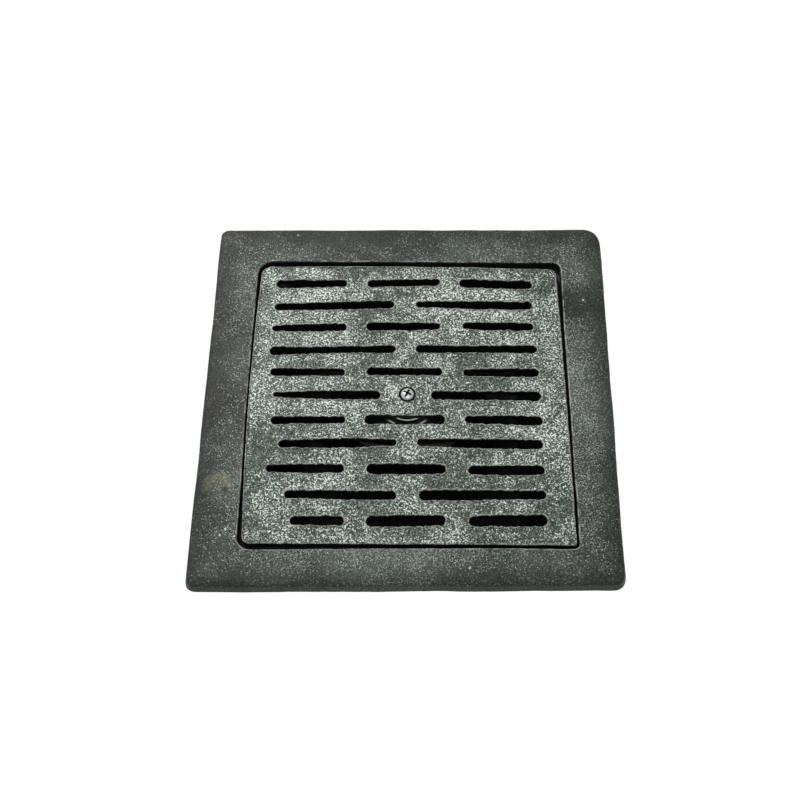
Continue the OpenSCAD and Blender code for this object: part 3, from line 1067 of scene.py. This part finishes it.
# Middle, radius and width of the arc of ochre stain on the frame's left band, in millimetres
STAIN_PLACE = (-132.5, -74.5)
STAIN_RADIUS = 7.2
STAIN_WIDTH = 5.6
# Places of the grate with denser pale grain, or with less of it: x, y and radius in
# millimetres, and strength
GRAINY_PLACES = (
    (-62, 86, 40, 0.75), (20, 75, 44, 0.60), (-56, 48, 28, 0.55), (68, 64, 46, 0.70),
    (-12.5, 2.5, 9, 1.40), (-62, -2, 36, 0.35), (92, -22, 42, 0.50), (-55, -70, 24, 0.45),
    (-95, -50, 32, -0.40), (-20, 27, 40, -0.25), (-50, 108, 26, -0.50), (54, 29, 26, -0.50),
    (-100, 86, 30, 0.45), (-98, -4, 34, 0.40))
# Paler and darker places of the frame's bands, in the same way: partly worn paint, partly painted
# sheen, such as the large pale place in the middle of the front band
WEAR_AND_SHEEN_PLACES = (
    (-12, -126, 85, 0.50), (126, -2, 80, 0.50), (126, -85, 50, 0.22), (55, 125, 50, 0.18),
    (-124, 92, 36, 0.10), (-124, -66, 40, 0.14), (-138, 4, 70, -0.16), (-40, 132, 60, -0.16),
    (119, 77, 31, -0.42), (-6, 124, 50, -0.08), (143, 104, 34, 0.34), (-88, -142, 30, 0.20),
    (112, 17, 22, 0.20), (-64, 131, 24, -0.22), (22, 130, 20, -0.20))
# Small pits and chips of the frame's top face: x, y and radius in millimetres
PITS = ((-124.9, -103.0, 2.2), (-127.0, -77.0, 4.0), (-90.0, 144.0, 3.0), (-125.5, -135.0, 1.4))
CHIPS = ((-124.5, -106.8, 1.2), (-128.0, -111.2, 1.1), (-118.0, -112.2, 1.1),
         (43.0, -134.6, 1.3), (-87.0, 143.0, 1.2), (132.9, 82.0, 1.2))


def new_group(name, inputs, outputs):
    """An empty shader node group with named sockets, and its two end nodes."""
    group = bpy.data.node_groups.new(name, "ShaderNodeTree")
    for label, kind, default in inputs:
        socket = group.interface.new_socket(name=label, in_out="INPUT", socket_type=kind)
        if default is not None:
            socket.default_value = default
    for label, kind in outputs:
        group.interface.new_socket(name=label, in_out="OUTPUT", socket_type=kind)
    start = group.nodes.new("NodeGroupInput")
    end = group.nodes.new("NodeGroupOutput")
    return group, start, end


def add_node(tree, kind, links=None, **settings):
    """A node with its settings, its socket values and its links, by socket name or number."""
    node = tree.nodes.new(kind)
    for key, value in settings.items():
        setattr(node, key, value)
    for key, value in (links or {}).items():
        if isinstance(value, bpy.types.NodeSocket):
            tree.links.new(value, node.inputs[key])
        else:
            node.inputs[key].default_value = value
    return node


def math_node(tree, operation, first, second=0.0, third=0.0, clamp=False):
    node = add_node(tree, "ShaderNodeMath", {0: first, 1: second, 2: third},
                    operation=operation, use_clamp=clamp)
    return node.outputs[0]


def mix_colour(tree, factor, first, second, blend="MIX"):
    """Colour mix. The first and second are sockets or plain colours."""
    def full(c):
        return c if isinstance(c, bpy.types.NodeSocket) else (*c, 1.0)
    node = add_node(tree, "ShaderNodeMix", {0: factor, 6: full(first), 7: full(second)},
                    data_type="RGBA", blend_type=blend)
    return node.outputs[2]


def ramp(tree, value, low, high, out_low=0.0, out_high=1.0, smooth=True):
    """Value stretched from one range to another and clamped."""
    node = add_node(tree, "ShaderNodeMapRange",
                    {0: value, 1: low, 2: high, 3: out_low, 4: out_high},
                    interpolation_type="SMOOTHSTEP" if smooth else "LINEAR")
    return node.outputs[0]


def noise_value(tree, vector, scale, detail=2.0, rough=0.5, warp=0.0):
    node = add_node(tree, "ShaderNodeTexNoise",
                    {"Vector": vector, "Scale": scale, "Detail": detail, "Roughness": rough,
                     "Distortion": warp})
    return node.outputs["Fac"]


def cast_grain_group():
    """Sand-cast skin: short curled flakes, bright specks, grit, slow patches and a height."""
    name = "Cast Grain"
    if name in bpy.data.node_groups:
        return bpy.data.node_groups[name]
    group, start, end = new_group(
        name,
        [("Vector", "NodeSocketVector", None), ("Flake Scale", "NodeSocketFloat", 300.0),
         ("Speck Scale", "NodeSocketFloat", 600.0), ("Patch Scale", "NodeSocketFloat", 34.0),
         ("Flake Width", "NodeSocketFloat", 0.05), ("Speck Share", "NodeSocketFloat", 0.3),
         ("Grit Scale", "NodeSocketFloat", 900.0)],
        [("Flakes", "NodeSocketFloat"), ("Specks", "NodeSocketFloat"),
         ("Patches", "NodeSocketFloat"), ("Grit", "NodeSocketFloat"),
         ("Height", "NodeSocketFloat")])
    vector = start.outputs["Vector"]
    scale = start.outputs["Flake Scale"]
    worms = noise_value(group, vector, scale, 1.0, 0.5, 0.9)
    ridge = math_node(group, "ABSOLUTE", math_node(group, "SUBTRACT", worms, 0.5))
    line = ramp(group, math_node(group, "SUBTRACT", start.outputs["Flake Width"], ridge),
                -0.004, 0.009)
    moved = add_node(group, "ShaderNodeVectorMath", {0: vector, 1: (0.37, 0.11, 0.73)},
                     operation="ADD").outputs[0]
    breaks = noise_value(group, moved, math_node(group, "MULTIPLY", scale, 1.4), 1.0)
    flakes = math_node(group, "MULTIPLY", line, ramp(group, breaks, 0.49, 0.55))
    cells = add_node(group, "ShaderNodeTexVoronoi",
                     {"Vector": moved, "Scale": start.outputs["Speck Scale"]})
    chance = add_node(group, "ShaderNodeSeparateColor", {0: cells.outputs["Color"]})
    lit = math_node(group, "LESS_THAN", chance.outputs[0], start.outputs["Speck Share"])
    dot = ramp(group, cells.outputs["Distance"], 0.46, 0.28)
    strength = ramp(group, chance.outputs[1], 0.0, 0.9, 0.40, 1.0)
    specks = math_node(group, "MULTIPLY", math_node(group, "MULTIPLY", lit, dot), strength)
    patches = noise_value(group, moved, start.outputs["Patch Scale"], 4.0, 0.62, 0.3)
    grit = noise_value(group, moved, start.outputs["Grit Scale"], 2.0, 0.6)
    relief = math_node(group, "MAXIMUM", flakes, specks)
    height = math_node(group, "ADD", math_node(group, "MULTIPLY", relief, 0.4),
                       math_node(group, "ADD", math_node(group, "MULTIPLY", breaks, 0.3),
                                 math_node(group, "MULTIPLY", grit, 0.6)))
    group.links.new(flakes, end.inputs["Flakes"])
    group.links.new(specks, end.inputs["Specks"])
    group.links.new(patches, end.inputs["Patches"])
    group.links.new(grit, end.inputs["Grit"])
    group.links.new(height, end.inputs["Height"])
    return group


def square_reach_group():
    """Distance from the upright axis in square measure, and the height, from a position."""
    name = "Square Reach"
    if name in bpy.data.node_groups:
        return bpy.data.node_groups[name]
    group, start, end = new_group(name, [("Vector", "NodeSocketVector", None)],
                                  [("Reach", "NodeSocketFloat"), ("Height", "NodeSocketFloat")])
    split = add_node(group, "ShaderNodeSeparateXYZ", {0: start.outputs["Vector"]})
    reach = math_node(group, "MAXIMUM", math_node(group, "ABSOLUTE", split.outputs[0]),
                      math_node(group, "ABSOLUTE", split.outputs[1]))
    group.links.new(reach, end.inputs["Reach"])
    group.links.new(split.outputs[2], end.inputs["Height"])
    return group


def soft_spot_group():
    """Soft round mask about a centre, full within a fifth of its radius."""
    name = "Soft Spot"
    if name in bpy.data.node_groups:
        return bpy.data.node_groups[name]
    group, start, end = new_group(
        name, [("Vector", "NodeSocketVector", None), ("Centre", "NodeSocketVector", None),
               ("Radius", "NodeSocketFloat", 0.01)], [("Mask", "NodeSocketFloat")])
    gap = add_node(group, "ShaderNodeVectorMath",
                   {0: start.outputs["Vector"], 1: start.outputs["Centre"]},
                   operation="DISTANCE").outputs["Value"]
    radius = start.outputs["Radius"]
    mask = ramp(group, gap, radius, math_node(group, "MULTIPLY", radius, 0.2))
    group.links.new(mask, end.inputs["Mask"])
    return group


def new_material(name, shader_values):
    """A material with a Principled shader whose plain values are set on its own sockets."""
    material = bpy.data.materials.new(name)
    material.use_nodes = True
    tree = material.node_tree
    tree.nodes.clear()
    out = tree.nodes.new("ShaderNodeOutputMaterial")
    shader = add_node(tree, "ShaderNodeBsdfPrincipled", shader_values)
    tree.links.new(shader.outputs[0], out.inputs[0])
    place = tree.nodes.new("ShaderNodeTexCoord").outputs["Object"]
    return material, tree, shader, place


def place_group(tree, group, links):
    return add_node(tree, "ShaderNodeGroup", links, node_tree=group)


def stored(tree, name):
    """Number that an operator kept for each point of the mesh."""
    return add_node(tree, "ShaderNodeAttribute", attribute_name=name).outputs["Fac"]


def finish_shader(tree, shader, colour, rough, height, depth):
    """Links a finish's colour, roughness and relief to its shader."""
    relief = add_node(tree, "ShaderNodeBump",
                      {"Height": height, "Distance": depth, "Strength": 1.0})
    tree.links.new(colour, shader.inputs["Base Color"])
    tree.links.new(rough, shader.inputs["Roughness"])
    tree.links.new(relief.outputs[0], shader.inputs["Normal"])


def spot(tree, place, x, y, radius, height):
    """Soft round mask about one point. The height is in metres, the rest in millimetres."""
    node = place_group(tree, soft_spot_group(), {
        "Vector": place, "Centre": (x * MM, y * MM, height), "Radius": radius * MM})
    return node.outputs["Mask"]


def places_mask(tree, place, places, height):
    """Sum of soft round masks, each with its own strength."""
    total = 0.0
    for x, y, radius, strength in places:
        mask = spot(tree, place, x, y, radius, height)
        total = math_node(tree, "MULTIPLY_ADD", mask, strength, total)
    return total


def stain_mask(tree, place):
    """Blotched arc of stain on the frame, open towards the front."""
    x, y = STAIN_PLACE
    gap = add_node(tree, "ShaderNodeVectorMath", {0: place, 1: (x * MM, y * MM, top_face())},
                   operation="DISTANCE").outputs["Value"]
    off_line = math_node(tree, "ABSOLUTE", math_node(tree, "SUBTRACT", gap, STAIN_RADIUS * MM))
    arc = ramp(tree, off_line, STAIN_WIDTH * MM, 0.0)
    split = add_node(tree, "ShaderNodeSeparateXYZ", {0: place})
    behind = ramp(tree, split.outputs[1], (y - STAIN_RADIUS) * MM, (y + 0.4 * STAIN_RADIUS) * MM)
    blotch = ramp(tree, noise_value(tree, place, 300.0, 3.0, 0.7), 0.30, 0.60, 0.35, 1.0)
    return math_node(tree, "MULTIPLY", math_node(tree, "MULTIPLY", arc, behind), blotch)


def frame_iron():
    """Black painted iron, greyer towards the recess, with brown patches and fine sparkle."""
    c = sizes("finishes")
    f = sizes("frame")
    top = top_face()
    edge, recess = f.width / 2, f.recess / 2
    material, tree, shader, place = new_material(
        "frame_iron", {"Metallic": 0.0, "Specular IOR Level": 0.35})
    reach = place_group(tree, square_reach_group(), {"Vector": place}).outputs
    nearness = ramp(tree, reach["Reach"], edge - 0.004, recess + 0.004)
    # How densely the pale specks lie: in clouds, more near the recess and in the paler places,
    # partly worn paint and partly painted sheen
    cloud = noise_value(tree, place, 60.0, 3.0, 0.6)
    wear_and_sheen = places_mask(tree, place, WEAR_AND_SHEEN_PLACES, top)
    crowd = math_node(tree, "ADD", math_node(tree, "MULTIPLY", nearness, 0.27),
                      ramp(tree, cloud, 0.36, 0.66, -0.02, 0.38))
    crowd = math_node(tree, "MULTIPLY_ADD", wear_and_sheen, 0.80, crowd)
    grain = place_group(tree, cast_grain_group(),
                        {"Vector": place, "Flake Scale": 700.0, "Speck Scale": 920.0,
                         "Patch Scale": 24.0, "Flake Width": 0.045, "Speck Share": crowd,
                         "Grit Scale": 800.0}).outputs
    # Grey of the paint between the darkest black and the worn grey
    tone = math_node(tree, "ADD", ramp(tree, grain["Grit"], 0.36, 0.66, 0.0, 0.58),
                     ramp(tree, grain["Patches"], 0.34, 0.68, -0.12, 0.12))
    tone = math_node(tree, "MULTIPLY_ADD", nearness, 0.06, tone)
    # The places above make the paint paler and darker, in part as painted sheen
    tone = math_node(tree, "MULTIPLY_ADD", wear_and_sheen, 0.40, tone)
    tone = math_node(tree, "MAXIMUM", tone, 0.0)
    base = mix_colour(tree, tone, c.frame_dark, c.frame_grey)
    # Brown lies mostly on the left band
    left = ramp(tree, add_node(tree, "ShaderNodeSeparateXYZ", {0: place}).outputs[0],
                -0.100, -0.130, 0.15, 0.90)
    brown_mask = ramp(tree, noise_value(tree, place, 22.0, 3.0, 0.6), 0.42, 0.60)
    brown = mix_colour(tree, tone, c.frame_dark, c.frame_brown)
    base = mix_colour(tree, math_node(tree, "MULTIPLY", brown_mask, left), base, brown)
    flakes = math_node(tree, "MULTIPLY", grain["Flakes"],
                       math_node(tree, "MULTIPLY", crowd, 0.8))
    specks = math_node(tree, "POWER", grain["Specks"], 1.3)
    base = mix_colour(tree, math_node(tree, "MAXIMUM", flakes, specks), base, c.frame_speck)
    # Stain, pits, chips, and the painted highlight line beside the recess
    stain = math_node(tree, "MULTIPLY", stain_mask(tree, place), 0.5)
    base = mix_colour(tree, stain, base, c.rust)
    for pit in PITS:
        dark = math_node(tree, "MULTIPLY", spot(tree, place, *pit, top), 0.8)
        base = mix_colour(tree, dark, base, c.frame_dark)
    for chip in CHIPS:
        base = mix_colour(tree, spot(tree, place, *chip, top), base, c.pale_speck_and_highlight)
    # Painted highlight: a broken pale line along the recess's top edge
    edge_highlight = math_node(tree, "MULTIPLY", stored(tree, "edge"),
                     ramp(tree, noise_value(tree, place, 150.0, 3.0), 0.40, 0.66, 0.0, 0.35))
    base = mix_colour(tree, edge_highlight, base, c.pale_speck_and_highlight)
    # Black in the recess and the pot. Painted shade: darker towards the outer edge and down the
    # flange's side
    low = ramp(tree, reach["Height"], top - 0.0007, top - 0.0014)
    indoors = ramp(tree, reach["Reach"], recess + 0.008, recess + 0.004)
    base = mix_colour(tree, math_node(tree, "MULTIPLY", low, indoors), base, c.inside)
    # Painted shade over the outer band and down the flange's side
    outer = ramp(tree, reach["Reach"], edge - 0.022, edge - 0.001, 0.0, 0.6)
    side = ramp(tree, reach["Height"], top - 0.0006, top - 0.0024, 0.0, 0.75)
    base = mix_colour(tree, math_node(tree, "MAXIMUM", outer, side), base, c.frame_dark)
    rough = ramp(tree, grain["Height"], 0.25, 0.7, 0.62, 0.42)
    finish_shader(tree, shader, base, rough, grain["Height"], 0.0007)
    return material


def grate_iron():
    """Worn grey green iron full of pale curled flakes, with a painted highlight along the slots'
    edges.
    """
    c = sizes("finishes")
    face = top_face() - sizes("grate").sink
    material, tree, shader, place = new_material(
        "grate_iron", {"Metallic": 0.0, "Specular IOR Level": 0.4})
    # How densely the pale grain lies, from slow clouds, finer patches and the grainy places
    cloud = noise_value(tree, place, 30.0, 3.0, 0.65)
    patch = noise_value(tree, place, 95.0, 3.0, 0.6)
    crowd = math_node(tree, "ADD", ramp(tree, cloud, 0.41, 0.59, -0.16, 0.46),
                      ramp(tree, patch, 0.38, 0.62, 0.0, 0.50))
    crowd = math_node(tree, "ADD", places_mask(tree, place, GRAINY_PLACES, face), crowd)
    crowd = math_node(tree, "MAXIMUM", crowd, 0.0)
    grain = place_group(tree, cast_grain_group(),
                        {"Vector": place, "Flake Scale": 520.0, "Speck Scale": 780.0,
                         "Patch Scale": 28.0, "Grit Scale": 680.0,
                         "Flake Width": math_node(tree, "MULTIPLY_ADD", crowd, 0.076, 0.028),
                         "Speck Share": math_node(tree, "MULTIPLY", crowd, 0.62)}).outputs
    tone = math_node(tree, "ADD", math_node(tree, "MULTIPLY", crowd, 0.20),
                     ramp(tree, grain["Grit"], 0.42, 0.62, 0.0, 0.70), clamp=True)
    base = mix_colour(tree, tone, c.grate_dark, c.grate_grey)
    specks = math_node(tree, "MAXIMUM", grain["Flakes"], grain["Specks"])
    base = mix_colour(tree, specks, base, c.pale_speck_and_highlight)
    # Painted highlight: a bright broken line along the slots' edges. Black below the face
    edge_highlight = math_node(tree, "MULTIPLY", ramp(tree, stored(tree, "edge"), 0.66, 1.0),
                     ramp(tree, noise_value(tree, place, 520.0, 2.0), 0.38, 0.6, 0.1, 0.75))
    base = mix_colour(tree, edge_highlight, base, c.pale_speck_and_highlight)
    reach = place_group(tree, square_reach_group(), {"Vector": place}).outputs
    down = ramp(tree, reach["Height"], face - 0.0003, face - 0.0007)
    base = mix_colour(tree, down, base, c.inside)
    rough = ramp(tree, grain["Height"], 0.25, 0.7, 0.6, 0.36)
    finish_shader(tree, shader, base, rough, grain["Height"], 0.0010)
    return material


def bell_black():
    """Glossy black coating with slow runs, a fine cast skin and painted highlights on the hub's edge
    and the bead.
    """
    c = sizes("finishes")
    material, tree, shader, place = new_material(
        "bell_black", {"Metallic": 0.0, "Specular IOR Level": 0.5})
    grain = place_group(tree, cast_grain_group(),
                        {"Vector": place, "Flake Scale": 200.0, "Speck Scale": 300.0,
                         "Patch Scale": 40.0, "Flake Width": 0.02, "Speck Share": 0.1}).outputs
    base = mix_colour(tree, ramp(tree, grain["Patches"], 0.4, 0.7, 0.0, 0.6), c.bell,
                      c.frame_dark)
    # Painted highlight: pale lines on the hub's edge and on the bead
    painted_highlight = ramp(tree, stored(tree, "edge"), 0.0, 0.7)
    base = mix_colour(tree, painted_highlight, base, c.pale_speck_and_highlight)
    rough = ramp(tree, grain["Patches"], 0.3, 0.7, 0.16, 0.3)
    finish_shader(tree, shader, base, rough, grain["Height"], 0.00015)
    return material


def zinc_steel():
    """Bright zinc plating, slightly clouded and scuffed."""
    c = sizes("finishes")
    material, tree, shader, place = new_material("zinc_steel", {"Metallic": 0.75})
    cloud = noise_value(tree, place, 700.0, 3.0, 0.6)
    base = mix_colour(tree, ramp(tree, cloud, 0.45, 0.7, 0.0, 0.5), c.steel, c.grate_grey)
    # Painted shade, near black, in the cross recess and round the foot of the head's rim
    base = mix_colour(tree, ramp(tree, stored(tree, "shade"), 0.02, 0.25), base, c.inside)
    rough = ramp(tree, cloud, 0.3, 0.7, 0.12, 0.30)
    finish_shader(tree, shader, base, rough, cloud, 0.00008)
    return material


# Stage

def floor_material(brightness):
    """White to the camera and in reflections, with a soft shadow."""
    material = bpy.data.materials.new("studio_floor")
    material.use_nodes = True
    tree = material.node_tree
    tree.nodes.clear()
    out = tree.nodes.new("ShaderNodeOutputMaterial")
    path = tree.nodes.new("ShaderNodeLightPath")
    seen = math_node(tree, "MAXIMUM", path.outputs["Is Camera Ray"],
                     math_node(tree, "MAXIMUM", path.outputs["Is Glossy Ray"],
                               path.outputs["Is Transmission Ray"]))
    matt = add_node(tree, "ShaderNodeBsdfDiffuse", {0: (0.9, 0.9, 0.9, 1.0)})
    glow = add_node(tree, "ShaderNodeEmission", {0: (1.0, 1.0, 1.0, 1.0), 1: brightness})
    share = math_node(tree, "MULTIPLY", seen, 0.93)
    mixed = add_node(tree, "ShaderNodeMixShader", {0: share, 1: matt.outputs[0],
                                                   2: glow.outputs[0]})
    tree.links.new(mixed.outputs[0], out.inputs[0])
    return material


def add_world(strength):
    """Even light, seen as plain white by the camera."""
    world = bpy.data.worlds.new("studio")
    bpy.context.scene.world = world
    world.use_nodes = True
    tree = world.node_tree
    tree.nodes.clear()
    out = tree.nodes.new("ShaderNodeOutputWorld")
    path = tree.nodes.new("ShaderNodeLightPath")
    seen = math_node(tree, "MAXIMUM", path.outputs["Is Camera Ray"],
                     path.outputs["Is Transmission Ray"])
    soft = add_node(tree, "ShaderNodeBackground", {0: (1.0, 1.0, 1.0, 1.0), 1: strength})
    white = add_node(tree, "ShaderNodeBackground", {0: (1.0, 1.0, 1.0, 1.0), 1: 1.0})
    mixed = add_node(tree, "ShaderNodeMixShader", {0: seen, 1: soft.outputs[0],
                                                   2: white.outputs[0]})
    tree.links.new(mixed.outputs[0], out.inputs[0])


def add_lamp(name, place, width, power):
    """Square lamp aimed at the middle of the frame's top face."""
    lamp = bpy.data.lights.new(name, "AREA")
    lamp.shape = "SQUARE"
    lamp.size = width
    lamp.energy = power
    obj = bpy.data.objects.new(name, lamp)
    obj.location = place
    aim = Vector((0, 0, top_face())) - Vector(place)
    obj.rotation_euler = aim.to_track_quat("-Z", "Y").to_euler()
    bpy.context.scene.collection.objects.link(obj)


def add_camera(s):
    """Camera at the photograph's viewing angle, aimed at a point of the grate's face."""
    away = Vector((-math.cos(s.elevation) * math.sin(s.azimuth),
                   -math.cos(s.elevation) * math.cos(s.azimuth), math.sin(s.elevation)))
    data = bpy.data.cameras.new("camera")
    data.lens = s.lens
    data.sensor_width = 36.0
    camera = bpy.data.objects.new("camera", data)
    camera.location = Vector(s.aim) + away * s.distance
    look = (-away).to_track_quat("-Z", "Y").to_matrix()
    camera.rotation_euler = (look @ Matrix.Rotation(s.roll, 3, "Z")).to_euler()
    bpy.context.scene.collection.objects.link(camera)
    bpy.context.scene.camera = camera


class DRAIN_OT_stage(bpy.types.Operator):
    """Builds the camera, the pale floor and the soft lamps"""

    bl_idname = "drain.stage"
    bl_label = "Stage"

    def execute(self, context):
        s = sizes("stage")
        add_camera(s)
        size = s.floor_half
        mesh = bpy.data.meshes.new("floor")
        corners = [(-size, -size, 0), (size, -size, 0), (size, size, 0), (-size, size, 0)]
        mesh.from_pydata(corners, [], [(0, 1, 2, 3)])
        mesh.materials.append(floor_material(s.floor_white))
        floor = bpy.data.objects.new("floor", mesh)
        context.scene.collection.objects.link(floor)
        add_world(s.world)
        add_lamp("key_lamp", s.key_place, s.key_width, s.key)
        add_lamp("fill_lamp", s.fill_place, s.fill_width, s.fill)
        context.scene.view_settings.view_transform = "Standard"
        return {"FINISHED"}


class VIEW3D_PT_drain(bpy.types.Panel):
    """Buttons and settings of the drain"""

    bl_label = "Floor Drain"
    bl_space_type = "VIEW_3D"
    bl_region_type = "UI"
    bl_category = "Drain"

    def draw(self, context):
        for operator in OPERATORS:
            self.layout.operator(operator.bl_idname)
        for name, group in GROUPS.items():
            box = self.layout.box()
            box.label(text=group.__doc__)
            for key in group.__annotations__:
                box.prop(getattr(context.scene, "drain_" + name), key)


GROUPS = {"frame": FrameSizes, "grate": GrateSizes, "bell": BellSizes,
          "fasteners": FastenerSizes, "finishes": Finishes, "stage": StageSettings}
OPERATORS = (DRAIN_OT_stage, DRAIN_OT_frame_casting, DRAIN_OT_grate, DRAIN_OT_bell,
             DRAIN_OT_fasteners)


def register():
    for group in GROUPS.values():
        bpy.utils.register_class(group)
    for name, group in GROUPS.items():
        setattr(bpy.types.Scene, "drain_" + name, PointerProperty(type=group))
    for operator in OPERATORS:
        bpy.utils.register_class(operator)
    bpy.utils.register_class(VIEW3D_PT_drain)


def unregister():
    bpy.utils.unregister_class(VIEW3D_PT_drain)
    for operator in reversed(OPERATORS):
        bpy.utils.unregister_class(operator)
    for name in GROUPS:
        delattr(bpy.types.Scene, "drain_" + name)
    for group in GROUPS.values():
        bpy.utils.unregister_class(group)


def main():
    register()
    bpy.ops.drain.stage()
    bpy.ops.drain.frame_casting()
    bpy.ops.drain.grate()
    bpy.ops.drain.bell()
    bpy.ops.drain.fasteners()


if __name__ == "__main__":
    main()
